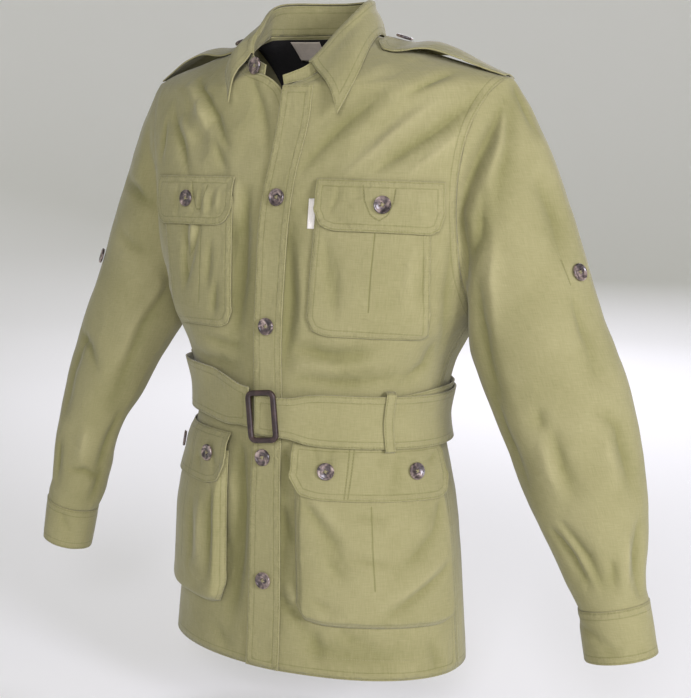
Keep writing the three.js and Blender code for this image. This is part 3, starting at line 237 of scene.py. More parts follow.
def fold_depth(points, faces, folds):
    """How far the folds move each point. A fold's row gives its width, its height above the
    cloth, or below it where negative, and the places that it runs through, in millimetres."""
    surface = BVHTree.FromPolygons(points.tolist(), faces.tolist())
    total = np.zeros(len(points))
    for wide, deep, *stops in folds:
        stops = np.array(stops, float) * MM
        run = run_along(stops)
        count = max(int(run[-1] / (2 * MM)), 4)
        at = np.linspace(0, run[-1], count)
        path = between(at, run, stops)
        path = np.array([surface.find_nearest(p)[0] for p in path])
        reach = FOLD_REACH * wide * MM
        near = np.flatnonzero(((points > path.min(0) - reach) & (points < path.max(0) + reach)).all(1))
        gap = np.linalg.norm(points[near, None] - path[None], axis=2)
        along = gap.argmin(1) / (count - 1)
        fade = np.sin(math.pi * (FOLD_ENDS + FOLD_SPAN * along))
        total[near] += deep * MM * fade * np.exp(-(gap.min(1) / (wide * MM * (0.8 + 0.4 * along))) ** 1.5)
    return total


def room_above(node, points, normals):
    """How far each point is from whatever lies over it, up to the room that is looked at."""
    corners, sides = [], []
    for name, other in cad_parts.items():
        if name != node:
            start = len(corners)
            corners += [v.co for v in other.data.vertices]
            sides += [[start + i for i in side.vertices] for side in other.data.polygons]
    tree = BVHTree.FromPolygons(corners, sides)
    found = (tree.ray_cast(Vector(p), Vector(n), ROOM)[3] for p, n in zip(points, normals))
    return np.array([ROOM if depth is None else depth for depth in found])


def widened(points, faces, grow):
    """Moves the rims outwards, so that neighbouring cloths meet at their seam."""
    after = rim_edges(faces)
    before = {b: a for a, b in after.items()}
    rim = np.array([v for v in after if v in before])
    along = points[[after[v] for v in rim]] - points[[before[v] for v in rim]]
    outward = np.cross(along, cloth_normals(points, faces)[rim])
    outward /= np.maximum(np.linalg.norm(outward, axis=1, keepdims=True), 1e-9)
    points = points.copy()
    points[rim] += outward * grow * MM
    return points


def rumple(points, size, seed):
    return np.array([noise.noise(Vector(p) / size + Vector((seed, 0, 0))) for p in points])


def weave_places(points, faces, middle, radius):
    """Where each corner lies in the cloth's own threads: round the body, and upwards."""
    x, y = (points[:, k] - middle(points[:, 2])[k] for k in range(2))
    turn = np.arctan2(x, -y)[faces]
    turn = np.where((turn.max(1) - turn.min(1) > math.pi)[:, None] & (turn < 0), turn + 2 * math.pi, turn)
    return np.stack([turn * radius, points[:, 2][faces]], -1).reshape(-1, 2)


def body_middle(z):
    return np.zeros_like(z), np.full_like(z, -5 * MM)


def add_mesh(name, points, faces):
    data = bpy.data.meshes.new(name)
    data.from_pydata(points.tolist(), [], faces.tolist())
    piece = bpy.data.objects.new(name, data)
    bpy.context.scene.collection.objects.link(piece)
    data.shade_smooth()
    return piece


ARMHOLE_CREASES = (
    (11, 15.0, (-0.45, 0.88, -0.1), (224, -46, -88), (213, -64, -122), (204, -71, -156), (197, -66, -190),
     (195, -46, -250)),
    (11, 12.0, (0.45, 0.88, -0.1), (-214, -52, -96), (-205, -66, -140), (-197, -68, -180), (-196, -46, -250)))


def armhole_dent(points):
    """The crease along the armhole, which presses sleeve and front in together."""
    total = np.zeros_like(points)
    for wide, deep, way, *stops in ARMHOLE_CREASES:
        stops = np.array(stops, float) * MM
        steps = np.linspace(0, len(stops) - 1, 80)
        path = between(steps, range(len(stops)), stops)
        gap = np.linalg.norm(points[:, None] - path[None], axis=2)
        fade = np.sin(math.pi * (0.1 + 0.8 * gap.argmin(1) / len(path)))
        total += (deep * MM * fade * np.exp(-(gap.min(1) / (wide * MM)) ** 1.5))[:, None] * np.array(way)
    return total


def sew_cloth(node, levels=3, thick=1.1, folds=(), pucker=0.22, drape=0.5,
              seed=1.0, seams=(), middle=body_middle, radius=130 * MM, grow=0.0, material=None,
              sharp=0.5, pressed=True):
    """One cut piece of cloth, laid on its solid's outer side. Lengths are in millimetres."""
    points, faces = outer_side(node, sharp)
    for _ in range(levels):
        points, faces = halved(points, faces)
    points = eased(points, faces, 6)
    rim = rim_samples(points, faces, RIM_PITCH)
    tree = tree_of(rim[:, :3])
    edge = np.array([tree.find(p)[2] for p in points])
    normals = cloth_normals(points, faces)
    inside = np.clip((edge - 1 * MM) / (7 * MM), 0, 1)
    shift = inside * fold_depth(points, faces, folds)
    shift += inside * drape * MM * (rumple(points, 55 * MM, seed) + 0.5 * rumple(points, 24 * MM, seed + 7))
    by_seam = np.exp(-((edge - 7 * MM) / (5 * MM)) ** 2)
    shift += pucker * MM * by_seam * rumple(points, 6.5 * MM, seed + 13)
    room = room_above(node, points, normals)
    shift = np.minimum(shift, np.maximum(room - LEAST_GAP, 0))
    points = points + normals * shift[:, None]
    if node.startswith(("front", "sleeve")):
        points = points + armhole_dent(points)
    points = widened(points, faces, grow)
    piece = add_mesh("cloth_" + node, points, faces)
    places = piece.data.uv_layers.new(name="weave")
    places.data.foreach_set("uv", weave_places(points, faces, middle, radius).ravel())
    edge += 0.0 if pressed else FAR_FROM_RIM
    # The fold attribute holds how far the folds lift or sink the cloth; the material turns it into painted
    # light on the ridges and painted shade in the troughs.
    for name, values in (("edge", edge), ("fold", np.clip(shift / (5 * MM), -1, 1))):
        piece.data.attributes.new(name, "FLOAT", "POINT").data.foreach_set("value", values)
    for name, paths in (("seam_one", seams[::2]), ("seam_two", seams[1::2])):
        off = np.ones_like(points)
        for path in paths:
            spots = along_path(points, faces, path, RIM_PITCH)
            tree = tree_of(spots)
            away = points - spots[[tree.find(p)[1] for p in points]]
            closer = np.linalg.norm(away, axis=1) < np.linalg.norm(off, axis=1)
            off[closer] = away[closer]
        piece.data.attributes.new(name, "FLOAT_VECTOR", "POINT").data.foreach_set("vector", off.ravel())
    body = piece.modifiers.new("cloth", "SOLIDIFY")
    body.thickness = thick * MM
    body.offset = -1
    piece.data.materials.append(material or KHAKI)
    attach(piece, "root")
    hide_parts(node)
    return points, faces


def along_path(points, faces, path, pitch):
    """Places on the cloth, every pitch along a line through the given points."""
    surface = BVHTree.FromPolygons(points.tolist(), faces.tolist())
    stops = np.array(path, float) * MM
    run = run_along(stops)
    at = np.arange(0, run[-1], pitch)
    line = between(at, run, stops)
    return np.array([surface.find_nearest(p)[0] for p in line])


def stitch(name, points, faces, rows=(), where=None, seams=(), length=2.3, pitch=3.3, thread=0.42):
    """Raised stitches in rows that follow the rims, as far in as rows says, and along the seams."""
    surface = BVHTree.FromPolygons(points.tolist(), faces.tolist())
    spots = []
    if rows:
        tree = tree_of(rim_samples(points, faces, 0.8 * MM)[:, :3])
    for spot in rim_samples(points, faces, pitch * MM) if rows else ():
        at, along, facing = (Vector(spot[k:k + 3]) for k in (0, 3, 6))
        if where is not None and not where(*(at / MM)):
            continue
        inward = facing.cross(along).normalized()
        for row in rows:
            hit, normal, _, _ = surface.find_nearest(at + inward * row * MM)
            if hit is not None and tree.find(hit)[2] > LEAST_OFF_RIM * row * MM:
                spots.append((hit, along, normal))
    for path in seams:
        line = along_path(points, faces, path, pitch * MM)
        for at, ahead in zip(line[:-1], line[1:]):
            hit, normal, _, _ = surface.find_nearest(at)
            spots.append((hit, Vector(ahead - at).normalized(), normal))
    corners, sides = [], []
    half, wide, high = length / 2 * MM, thread / 2 * MM, 0.2 * MM
    for at, along, normal in spots:
        line = (along - normal * along.dot(normal)).normalized()
        side = normal.cross(line)
        base = len(corners)
        corners += [at - line * half, at + side * wide, at + line * half, at - side * wide,
                    at + normal * high, at - normal * high]
        sides += [[base + a, base + b, base + c] for a, b, c in (
            (0, 3, 4), (3, 2, 4), (2, 1, 4), (1, 0, 4), (3, 0, 5), (2, 3, 5), (1, 2, 5), (0, 1, 5))]
    seam = add_mesh("stitches_" + name, np.array(corners), np.array(sides))
    seam.data.materials.append(THREAD)
    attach(seam, "root")


def node_in(tree, kind, inputs=(), **settings):
    """A shader node with its settings, and its inputs set to values or joined to outputs."""
    made = tree.nodes.new(kind)
    for name, value in settings.items():
        setattr(made, name, value)
    for name, value in dict(inputs).items():
        if isinstance(value, bpy.types.NodeSocket):
            tree.links.new(value, made.inputs[name])
        else:
            made.inputs[name].default_value = value
    return made


def effect(name, inputs, outputs):
    """An empty shader node group with named inputs and outputs."""
    group = bpy.data.node_groups.new(name, "ShaderNodeTree")
    for label, kind, value in inputs:
        socket = group.interface.new_socket(label, in_out="INPUT", socket_type="NodeSocket" + kind)
        socket.default_value = value
    for label, kind in outputs:
        group.interface.new_socket(label, in_out="OUTPUT", socket_type="NodeSocket" + kind)
    return group, group.nodes.new("NodeGroupInput"), group.nodes.new("NodeGroupOutput")


def maths(tree, operation, a, b=0.0, c=0.0):
    made = node_in(tree, "ShaderNodeMath", {0: a, 1: b}, operation=operation)
    if isinstance(c, bpy.types.NodeSocket):
        tree.links.new(c, made.inputs[2])
    else:
        made.inputs[2].default_value = c
    return made.outputs[0]


def clouds(tree, at, scale, detail, roughness=0.5, distortion=0.0):
    made = node_in(tree, "ShaderNodeTexNoise", {"Vector": at, "Scale": scale, "Detail": detail,
                                                "Roughness": roughness, "Distortion": distortion})
    return made.outputs["Fac"]


def faded(tree, value, near, far, high, low, course="LINEAR"):
    """Goes from high to low while the given value goes from near to far."""
    return node_in(tree, "ShaderNodeMapRange", {"Value": value, "From Min": near, "From Max": far,
                                                "To Min": high, "To Max": low},
                   interpolation_type=course).outputs["Result"]


def toned(tree, value, *stops):
    """Colours that follow a value: the two end stops first, then any between them."""
    ramp = node_in(tree, "ShaderNodeValToRGB", {"Fac": value})
    made = ramp.color_ramp.elements
    for i, (place, color) in enumerate(stops):
        stop = made[i] if i < 2 else made.new(place)
        stop.position, stop.color = place, (*color, 1)
    return ramp.outputs["Color"]


def plain_weave():
    """Crossing threads, thick places in the yarn, uneven dye, and pressed, sewn edges, with painted shade in
    the stitch grooves and fold troughs and painted light on the fold ridges.
    """
    group, given, out = effect(
        "Plain weave",
        [("Light", "Color", (0.5, 0.5, 0.4, 1)), ("Dark", "Color", (0.3, 0.3, 0.2, 1)),
         ("Thread", "Float", 0.55), ("Slub", "Float", 0.5), ("Dye", "Float", 0.5), ("Seam", "Float", 1.0)],
        [("Color", "Color"), ("Height", "Float")])
    places = node_in(group, "ShaderNodeUVMap", uv_map="weave").outputs["UV"]
    split = node_in(group, "ShaderNodeSeparateXYZ", {"Vector": places})
    turns = maths(group, "DIVIDE", math.pi * 1000, given.outputs["Thread"])
    warp = maths(group, "SINE", maths(group, "MULTIPLY", split.outputs["X"], turns))
    weft = maths(group, "SINE", maths(group, "MULTIPLY", split.outputs["Y"], turns))
    threads = maths(group, "MULTIPLY", warp, weft)
    streaks = []
    for scale in ((90, 1100, 1), (1100, 70, 1)):
        stretched = node_in(group, "ShaderNodeVectorMath", {0: places, 1: scale}, operation="MULTIPLY")
        streaks.append(clouds(group, stretched.outputs[0], 1.0, 2.0))
    slub = maths(group, "SUBTRACT", maths(group, "ADD", *streaks), 1.0)
    at = node_in(group, "ShaderNodeTexCoord").outputs["Object"]
    cloud = clouds(group, at, 14.0, 4.0, roughness=0.6)
    edge = node_in(group, "ShaderNodeAttribute", attribute_name="edge").outputs["Fac"]
    grooves = None
    for row in (row * MM for row in WIDE_ROWS):
        off = maths(group, "ABSOLUTE", maths(group, "SUBTRACT", edge, row))
        groove = faded(group, off, 0.0, 1.1 * MM, 1.0, 0.0, "SMOOTHSTEP")
        grooves = groove if grooves is None else maths(group, "MAXIMUM", grooves, groove)
    for name in ("seam_one", "seam_two"):
        off = node_in(group, "ShaderNodeAttribute", attribute_name=name).outputs["Vector"]
        far = node_in(group, "ShaderNodeVectorMath", {0: off}, operation="LENGTH").outputs["Value"]
        groove = faded(group, far, 0.3 * MM, 1.3 * MM, 1.5, 0.0, "SMOOTHSTEP")
        grooves = maths(group, "MAXIMUM", grooves, groove)
    fold = faded(group, edge, 0.0, 1.2 * MM, 1.0, 0.0)
    grooves = maths(group, "MULTIPLY", grooves, given.outputs["Seam"])
    tone = maths(group, "MULTIPLY_ADD", maths(group, "SUBTRACT", cloud, 0.5), given.outputs["Dye"], 0.5)
    tone = maths(group, "MULTIPLY_ADD", slub, given.outputs["Slub"], tone)
    tone = maths(group, "MULTIPLY_ADD", threads, 0.06, tone)
    # Painted light and shade: the cloth is made lighter on the fold ridges and darker in the fold troughs, by
    # how far the folds lift or sink it.
    pressed = node_in(group, "ShaderNodeAttribute", attribute_name="fold").outputs["Fac"]
    tone = maths(group, "MULTIPLY_ADD", pressed, 0.45, tone)
    # Painted shade: the tone is darkened along the stitch grooves and seam lines, where the grooves would
    # fall in shade.
    tone = maths(group, "MULTIPLY_ADD", grooves, -0.34, tone)
    tone = maths(group, "MULTIPLY_ADD", fold, 0.1, tone)
    color = node_in(group, "ShaderNodeMix", data_type="RGBA")
    mixing = {socket.identifier: socket for socket in color.inputs}
    group.links.new(tone, mixing["Factor_Float"])
    group.links.new(given.outputs["Dark"], mixing["A_Color"])
    group.links.new(given.outputs["Light"], mixing["B_Color"])
    height = maths(group, "MULTIPLY_ADD", threads, 0.05, maths(group, "MULTIPLY", slub, 0.12))
    height = maths(group, "MULTIPLY_ADD", grooves, -0.3, height)
    drawn = maths(group, "MULTIPLY", clouds(group, at, 150.0, 2.0, distortion=0.6),
                  faded(group, edge, 2 * MM, 14 * MM, 3.2, 0.3))
    height = maths(group, "MULTIPLY_ADD", drawn, given.outputs["Seam"], height)
    washed = clouds(group, at, 36.0, 3.0, distortion=0.8)
    height = maths(group, "MULTIPLY_ADD", washed, 3.2, height)
    mixed = [socket for socket in color.outputs if socket.identifier == "Result_Color"][0]
    group.links.new(mixed, out.inputs["Color"])
    group.links.new(height, out.inputs["Height"])
    return group


PLAIN_WEAVE = plain_weave()


def blank(name):
    """A new material, its node tree and its shader."""
    material = bpy.data.materials.new(name)
    material.use_nodes = True
    return material, material.node_tree, material.node_tree.nodes["Principled BSDF"]


def woven(name, light, dark, thread=0.55, slub=0.5, dye=0.5, seam=1.0, rough=0.88, sheen=0.18):
    """A cotton cloth of that yarn, with the nap's soft sheen."""
    material, tree, shader = blank(name)
    cloth = node_in(tree, "ShaderNodeGroup", node_tree=PLAIN_WEAVE)
    for label, value in (("Light", (*light, 1)), ("Dark", (*dark, 1)), ("Thread", thread),
                         ("Slub", slub), ("Dye", dye), ("Seam", seam)):
        cloth.inputs[label].default_value = value
    bump = node_in(tree, "ShaderNodeBump", {"Height": cloth.outputs["Height"], "Strength": 0.8,
                                            "Distance": 0.6 * MM})
    tree.links.new(cloth.outputs["Color"], shader.inputs["Base Color"])
    tree.links.new(bump.outputs["Normal"], shader.inputs["Normal"])
    shader.inputs["Roughness"].default_value = rough
    shader.inputs["Sheen Weight"].default_value = sheen
    shader.inputs["Sheen Roughness"].default_value = 0.5
    shader.inputs["Specular IOR Level"].default_value = 0.25
    return material


def from_srgb(*levels):
    return tuple(((v / 255 + 0.055) / 1.055) ** 2.4 for v in levels)


KHAKI = woven("khaki poplin", from_srgb(158, 152, 110), from_srgb(120, 117, 73))
THREAD = woven("khaki thread", from_srgb(150, 143, 105), from_srgb(124, 118, 81), seam=0.0)

LEFT_FRONT_FOLDS = (
    (15, -5.5, (22, -120, -190), (30, -122, -270), (26, -120, -330)),
    (13, -5.0, (44, -118, -330), (90, -108, -346), (128, -84, -344)),
    (12, -5.0, (22, -120, -450), (26, -121, -540), (24, -122, -640)),
    (14, -4.5, (60, -118, -655), (110, -102, -668), (160, -64, -664)),
    (7, -6.1, (116, -104, -138), (144, -95, -117), (174, -81, -95), (205, -53, -61)),
    (6, -4.5, (144, -90, -60), (161, -77, -46), (176, -57, -35)),
    (9, -5.6, (34, -114, -138), (55, -113, -115), (79, -109, -91), (113, -99, -63)),
    (8, 3.9, (87, -109, -141), (117, -100, -113), (149, -88, -84), (172, -75, -65)),
    (6, 2.8, (152, -94, -139), (178, -82, -118), (192, -71, -99)),
    (6, -3.9, (21, -118, -443), (33, -118, -472)),
    (6, -3.9, (17, -121, -506), (34, -119, -542)),
    (7, -4.5, (21, -123, -607), (39, -121, -621), (56, -118, -642)),
    (6, 3.5, (29, -121, -596), (49, -118, -614)),
    (8, -4.5, (64, -116, -641), (73, -115, -674)),
    (7, -3.5, (90, -108, -635), (108, -101, -647), (130, -91, -656)),
    (8, -3.1, (174, -47, -649), (183, -36, -687)),
    (8, -4.5, (40, -119, -332), (73, -112, -336), (115, -97, -330)),
    (7, 3.5, (39, -118, -347), (88, -106, -348), (129, -81, -341)),
    (7, -4.2, (39, -117, -363), (91, -98, -366), (129, -74, -359)),
    (7, -4.5, (190, -70, -208), (183, -59, -261), (165, -34, -329)),
    (7, -4.2, (163, -50, -322), (153, -46, -345), (138, -63, -361)),
    (8, -4.5, (18, -120, -215), (27, -123, -279), (21, -120, -355)),
    (8, 3.5, (34, -120, -225), (41, -121, -289), (37, -120, -327)))
RIGHT_FRONT_FOLDS = (
    (14, -5.5, (-40, -118, -180), (-40, -120, -260), (-42, -118, -330)),
    (13, -5.0, (-38, -116, -450), (-38, -118, -540), (-40, -118, -650)),
    (5, -6.0, (-122, -87, -41), (-99, -102, -64), (-82, -107, -88), (-66, -111, -115)),
    (6, 3.9, (-133, -89, -48), (-112, -100, -69), (-98, -102, -96), (-85, -109, -109)),
    (5, -5.2, (-156, -85, -83), (-139, -95, -109), (-124, -103, -145)),
    (5, 3.1, (-140, -92, -84), (-121, -99, -114)),
    (4.5, -4.2, (-171, -81, -88), (-174, -84, -129)),
    (5, -3.9, (-87, -108, -108), (-77, -110, -124), (-68, -111, -141)),
    (7, -4.2, (-37, -106, -46), (-22, -110, -77), (-12, -113, -111)),
    (6, -3.5, (-51, -116, -198), (-53, -118, -240)),
    (8, -5.2, (-37, -115, -163), (-37, -119, -228), (-40, -120, -305)),
    (7, 3.1, (-52, -113, -153), (-52, -116, -191)),
    (6, -4.2, (-92, -108, -327), (-64, -115, -333), (-38, -119, -334)),
    (7, -3.9, (-118, -88, -348), (-79, -107, -354), (-42, -116, -357)),
    (8, -3.5, (-61, -112, -530), (-51, -115, -573), (-54, -115, -617)),
    (7, -5.6, (-35, -115, -451), (-29, -118, -507), (-31, -118, -575), (-35, -119, -622)),
    (7, -3.1, (-68, -112, -661), (-38, -120, -679)),
    (8, 3.1, (-48, -113, -476), (-38, -117, -542)))


ARMHOLE_OUT, HEM_TOP, SIDE_AT, SIDE_REACH = 190, -684, -4, 6


def at_armhole(x, y, z):
    return abs(x) > ARMHOLE_OUT


def at_hem(x, y, z):
    return z < HEM_TOP


def at_side(x, y, z):
    return abs(y - SIDE_AT) < SIDE_REACH and z > HEM_TOP


for side, folds, seed in (("left", LEFT_FRONT_FOLDS, 1.3), ("right", RIGHT_FRONT_FOLDS, 4.1)):
    points, faces = sew_cloth("front_" + side, folds=folds, drape=0.9,
                              seed=seed, grow=0.6)
    stitch(f"front_{side}_armhole", points, faces, WIDE_ROWS, at_armhole)
    stitch(f"front_{side}_hem", points, faces, HEM_ROW, at_hem)
    stitch(f"front_{side}_side", points, faces, WIDE_ROWS, at_side)

# Back panel: one width of the same poplin, cut without a centre seam. It is sewn to
# the yoke above and to the fronts at its sides, and hemmed below.
BACK_FOLDS = (
    (11, -5.1, (-150, 70, -120), (-110, 95, -190), (-70, 105, -260)),
    (10, -4.8, (152, 70, -110), (118, 95, -180), (80, 105, -250)),
    (12, 3.5, (-120, 90, -140), (-80, 104, -220)),
    (9, -3.8, (-20, 100, -120), (-34, 108, -220), (-30, 105, -300)),
    (10, 3.8, (44, 100, -130), (40, 108, -230), (46, 105, -310)),
    (8, -4.5, (-160, 70, -322), (-100, 92, -340), (-30, 100, -350)),
    (8, -4.5, (160, 70, -318), (104, 92, -338), (40, 100, -344)),
    (8, 3.5, (-90, 92, -360), (0, 100, -366), (80, 95, -362)),
    (12, -4.8, (-70, 100, -455), (-84, 100, -560), (-92, 95, -660)),
    (11, 4.2, (-20, 105, -460), (-26, 105, -580)),
    (12, -4.5, (36, 105, -458), (44, 105, -570), (40, 105, -670)),
    (11, -4.5, (110, 85, -460), (124, 80, -560), (130, 75, -655)),
    (10, 3.8, (140, 70, -470), (150, 60, -600)),
    (10, -3.8, (-140, 70, -470), (-152, 60, -590)))
points, faces = sew_cloth("back", folds=BACK_FOLDS, drape=1.0, seed=7.7,
                          grow=0.6)
stitch("back_armhole", points, faces, WIDE_ROWS, at_armhole)
stitch("back_hem", points, faces, HEM_ROW, at_hem)

# Yoke: the shoulder piece behind the neck, of the same poplin. It is lapped on the
# back and the fronts, and sewn down with two rows.
YOKE_FOLDS = (
    (9, -2.4, (-120, 60, -60), (-160, 50, -40)), (8, 2.6, (60, 80, -70), (130, 60, -60)),
    (7, -1.2, (40, 60, -45), (110, 50, -50)), (7, 2.0, (-40, 70, -60), (-90, 60, -66)))
points, faces = sew_cloth("yoke", folds=YOKE_FOLDS, seed=3.2, grow=0.6)
stitch("yoke", points, faces, WIDE_ROWS)

# Half lining: a thin piece of near-black poplin behind the neck, hung just inside the yoke and caught in its
# seams. Its near-black colour is partly the lining's own and partly painted shade, for the deep dark inside
# the neck.
BLACK = woven("black lining with painted neck shade", from_srgb(30, 28, 25), from_srgb(16, 15, 13), seam=0.3, sheen=0.05)
sew_cloth("neck_lining", levels=2, thick=0.8, pucker=0.1, drape=0.2,
          material=BLACK)

# Sleeves: long shirt sleeves set into the armholes, rolled down, with soft creases
# at the head, the crook of the elbow and above the cuff.
LEFT_SLEEVE_FOLDS = (
    (7, -7.8, (227, -33, -62), (222, -54, -99), (209, -68, -140)),
    (7, -7.1, (209, -68, -140), (197, -71, -177), (199, -51, -248)),
    (8, -4.4, (231, -16, -48), (234, -32, -75), (237, -46, -111), (235, -59, -152), (236, -62, -180)),
    (7, 4.4, (227, -35, -66), (230, -49, -106), (224, -63, -145)),
    (7, -4.1, (231, -14, -46), (244, -16, -71), (255, -14, -91)),
    (9, -6.1, (222, -66, -161), (220, -67, -200), (205, -60, -232)),
    (9, -5.8, (219, -61, -253), (221, -58, -285), (232, -54, -338), (246, -54, -373)),
    (9, 4.4, (235, -64, -206), (234, -63, -247), (241, -61, -299)),
    (10, -4.4, (267, -30, -145), (285, -26, -183), (295, -30, -218)),
    (9, -4.1, (311, -30, -266), (330, -29, -311), (341, -30, -343)),
    (11, -5.4, (234, -50, -364), (252, -41, -417), (281, -47, -465)),
    (8, -4.1, (289, -59, -376), (294, -58, -399)),
    (7, -5.1, (306, -56, -402), (317, -55, -434), (328, -54, -458)),
    (8, 3.4, (293, -57, -409), (305, -56, -442), (317, -55, -469)),
    (9, -5.1, (346, -35, -376), (363, -23, -392), (381, -21, -453)),
    (8, 3.7, (355, -34, -405), (368, -33, -445)),
    (7, -6.8, (310, -49, -506), (331, -50, -527), (349, -46, -555)),
    (6, -5.8, (320, -53, -494), (347, -50, -525), (364, -45, -555)),
    (6, 4.1, (324, -52, -507), (340, -50, -528), (355, -47, -554)),
    (7, -5.4, (389, -17, -493), (389, -21, -522), (397, -22, -563)),
    (6, 3.1, (383, -30, -507), (385, -32, -548)),
    (6, -4.1, (372, -43, -526), (377, -41, -558)))
RIGHT_SLEEVE_FOLDS = (
    (7, -5.8, (-256, -42, -154), (-230, -62, -166), (-200, -66, -186)),
    (9, -5.1, (-198, -31, -276), (-227, -47, -329), (-258, -42, -389), (-281, -36, -440)),
    (8, 4.1, (-204, -43, -280), (-237, -50, -332), (-266, -47, -389)),
    (7, -4.8, (-333, -33, -347), (-307, -48, -362), (-294, -52, -386)),
    (8, -4.4, (-318, -43, -354), (-342, -37, -397), (-352, -39, -450)),
    (7, -6.5, (-277, -26, -449), (-294, -27, -489), (-309, -27, -531)),
    (5, -4.8, (-338, -45, -526), (-321, -41, -525), (-310, -26, -535)),
    (6, -4.4, (-304, -21, -525), (-315, -24, -555), (-320, -25, -566)),
    (6, -4.1, (-358, -44, -489), (-366, -42, -542)),
    (7, 3.7, (-314, -46, -470), (-325, -44, -510)),
    (6, -4.1, (-256, -56, -218), (-233, -62, -234), (-211, -59, -240)))
BEHIND_SLEEVE_FOLDS = (
    (10, -5.4, (232, 30, -110), (246, 45, -180), (262, 45, -250)),
    (9, -5.1, (224, 40, -200), (240, 50, -270)), (10, 4.1, (250, 40, -150), (270, 45, -230)),
    (10, -5.8, (250, 40, -300), (300, 45, -330), (340, 30, -345)),
    (9, -5.1, (262, 40, -360), (310, 45, -370)), (9, 3.7, (270, 40, -335), (320, 40, -355)),
    (9, -5.4, (290, 35, -430), (335, 38, -450), (372, 25, -455)),
    (8, -5.1, (318, 30, -500), (350, 30, -540), (366, 25, -580)),
    (7, -4.4, (340, 30, -530), (372, 25, -580)))
OTHER_BEHIND_FOLDS = tuple((wide * 0.9, deep, *((-x, y, z + 9) for x, y, z in stops))
                           for wide, deep, *stops in BEHIND_SLEEVE_FOLDS)
TAB_SEAM = ((295, -31, -220), (301, -30, -234), (307, -28, -250))
CUFF_FOLDS = {
    "left": ((5, -2.2, (338, 4, -595), (359, -45, -609), (372, -48, -624)),
             (5, -1.6, (368, -47, -611), (385, -47, -626))),
    "right": ((5, -1.9, (-356, -44, -583), (-344, -39, -611)),)}


ELBOW_OUT, ELBOW_UP, ARM_SLANT, ARM_FRONT = 263 * MM, -304 * MM, 0.373, -8 * MM


def arm_middle(side):
    def middle(z):
        return side * (ELBOW_OUT + (ELBOW_UP - z) * ARM_SLANT), np.full_like(z, ARM_FRONT)
    return middle


for side, way, folds, seed, area, cuff in (
        ("left", 1, LEFT_SLEEVE_FOLDS + BEHIND_SLEEVE_FOLDS, 5.5, 171000, (206, 62)),
        ("right", -1, RIGHT_SLEEVE_FOLDS + OTHER_BEHIND_FOLDS, 9.5, 154000, (190, 61))):
    tab = [[(way * x, y, z) for x, y, z in TAB_SEAM]]
    points, faces = sew_cloth(
        "sleeve_" + side, folds=folds, drape=1.1, seed=seed,
        seams=tab, middle=arm_middle(way), radius=55 * MM, grow=0.6, pressed=False)
    stitch(f"sleeve_{side}", points, faces, seams=tab)
    # Cuffs: doubled bands of the same poplin that close the sleeves, sewn round both
    # their edges and buttoned.
    points, faces = sew_cloth(
        "cuff_" + side, folds=CUFF_FOLDS[side], thick=1.9, pucker=0.3, drape=0.4,
        seed=seed + 2, middle=arm_middle(way), radius=35 * MM, grow=0.3)
    stitch(f"cuff_{side}", points, faces, CLOSE_ROWS)

# Placket: a strip of the poplin folded over the left front's edge, and sewn down both
# its sides. It laps over the right front.
points, faces = sew_cloth("placket", pucker=0.4, drape=0.5, seed=2.4)
stitch("placket", points, faces, CLOSE_ROWS)

# Collar: a stand round the neck, and a pointed leaf turned over it. Both are doubled
# poplin, sewn together along the stand's top and stitched near their edges.
points, faces = sew_cloth("collar_stand", pucker=0.25, drape=0.35,
                          seed=6.1, radius=60 * MM)
stitch("collar_stand", points, faces, (1.7,))
points, faces = sew_cloth("collar_leaf", thick=1.5,
                          pucker=0.16, drape=0.3, seed=8.3, radius=75 * MM)
stitch("collar_leaf", points, faces, (2.0,))

# Shoulder straps: doubled poplin with two rows of stitches, caught in the sleeve seam
# and buttoned down beside the collar.
for side, seed in (("left", 2.9), ("right", 5.9)):
    points, faces = sew_cloth("epaulette_" + side, thick=1.5, pucker=0.3,
                              drape=0.5, seed=seed, radius=200 * MM)
    stitch(f"epaulette_{side}", points, faces, CLOSE_ROWS)

# Chest pockets: patches with a centre seam, under flaps with one button that is sewn
# through a stitched tab.
CHEST_FOLDS = {
    "left": ((7, -2.6, (68, -120, -218), (75, -120, -276)), (6, -2.2, (80, -119, -235), (80, -119, -295)),
             (6, 1.6, (157, -96, -220), (149, -92, -283)), (5, -1.9, (168, -90, -219), (162, -82, -282))),
    "right": ((5, -4.2, (-118, -110, -204), (-121, -108, -261)),
              (5, 3.2, (-109, -112, -200), (-109, -113, -226)),
              (5, -4.5, (-98, -114, -201), (-109, -113, -233), (-121, -107, -271)),
              (5, -3.2, (-81, -118, -222), (-84, -118, -268)),
              (5, -3.5, (-71, -120, -268), (-74, -119, -301)))}
CHEST_FLAP_FOLDS = {
    "left": ((3.5, -1.9, (79, -114, -153), (77, -118, -171), (71, -120, -183)),
             (3.5, -1.6, (97, -112, -154), (103, -114, -170)),
             (3.5, -1.6, (138, -104, -158), (136, -107, -175)),
             (4, -1.4, (71, -120, -185), (97, -117, -197)), (4, 1.3, (164, -97, -168), (169, -95, -190))),
    "right": ((2.8, -2.2, (-110, -111, -160), (-105, -115, -191)),
              (2.8, -2.2, (-99, -114, -162), (-97, -117, -193)),
              (2.8, 1.9, (-90, -116, -164), (-90, -118, -191)),
              (2.8, -1.9, (-79, -117, -164), (-83, -119, -189)),
              (2.8, 1.6, (-71, -117, -162), (-73, -120, -184)),
              (3, -1.9, (-135, -106, -161), (-132, -109, -192)))}
CHEST_SEAMS = {"left": [[(120, -110, -204), (117, -110, -247), (115, -109, -287)]],
               "right": [[(-95, -115, -208), (-96, -114, -290)]]}
CHEST_TAB_SEAMS = {
    "left": [[(105, -111, -155), (108, -113, -170), (115, -113, -185), (124, -111, -191),
              (133, -108, -185), (138, -106, -172), (139, -104, -158)]],
    "right": [[(-112, -111, -155), (-109, -113, -172), (-103, -114, -186), (-96, -115, -186),
               (-91, -116, -172), (-88, -117, -158)]]}
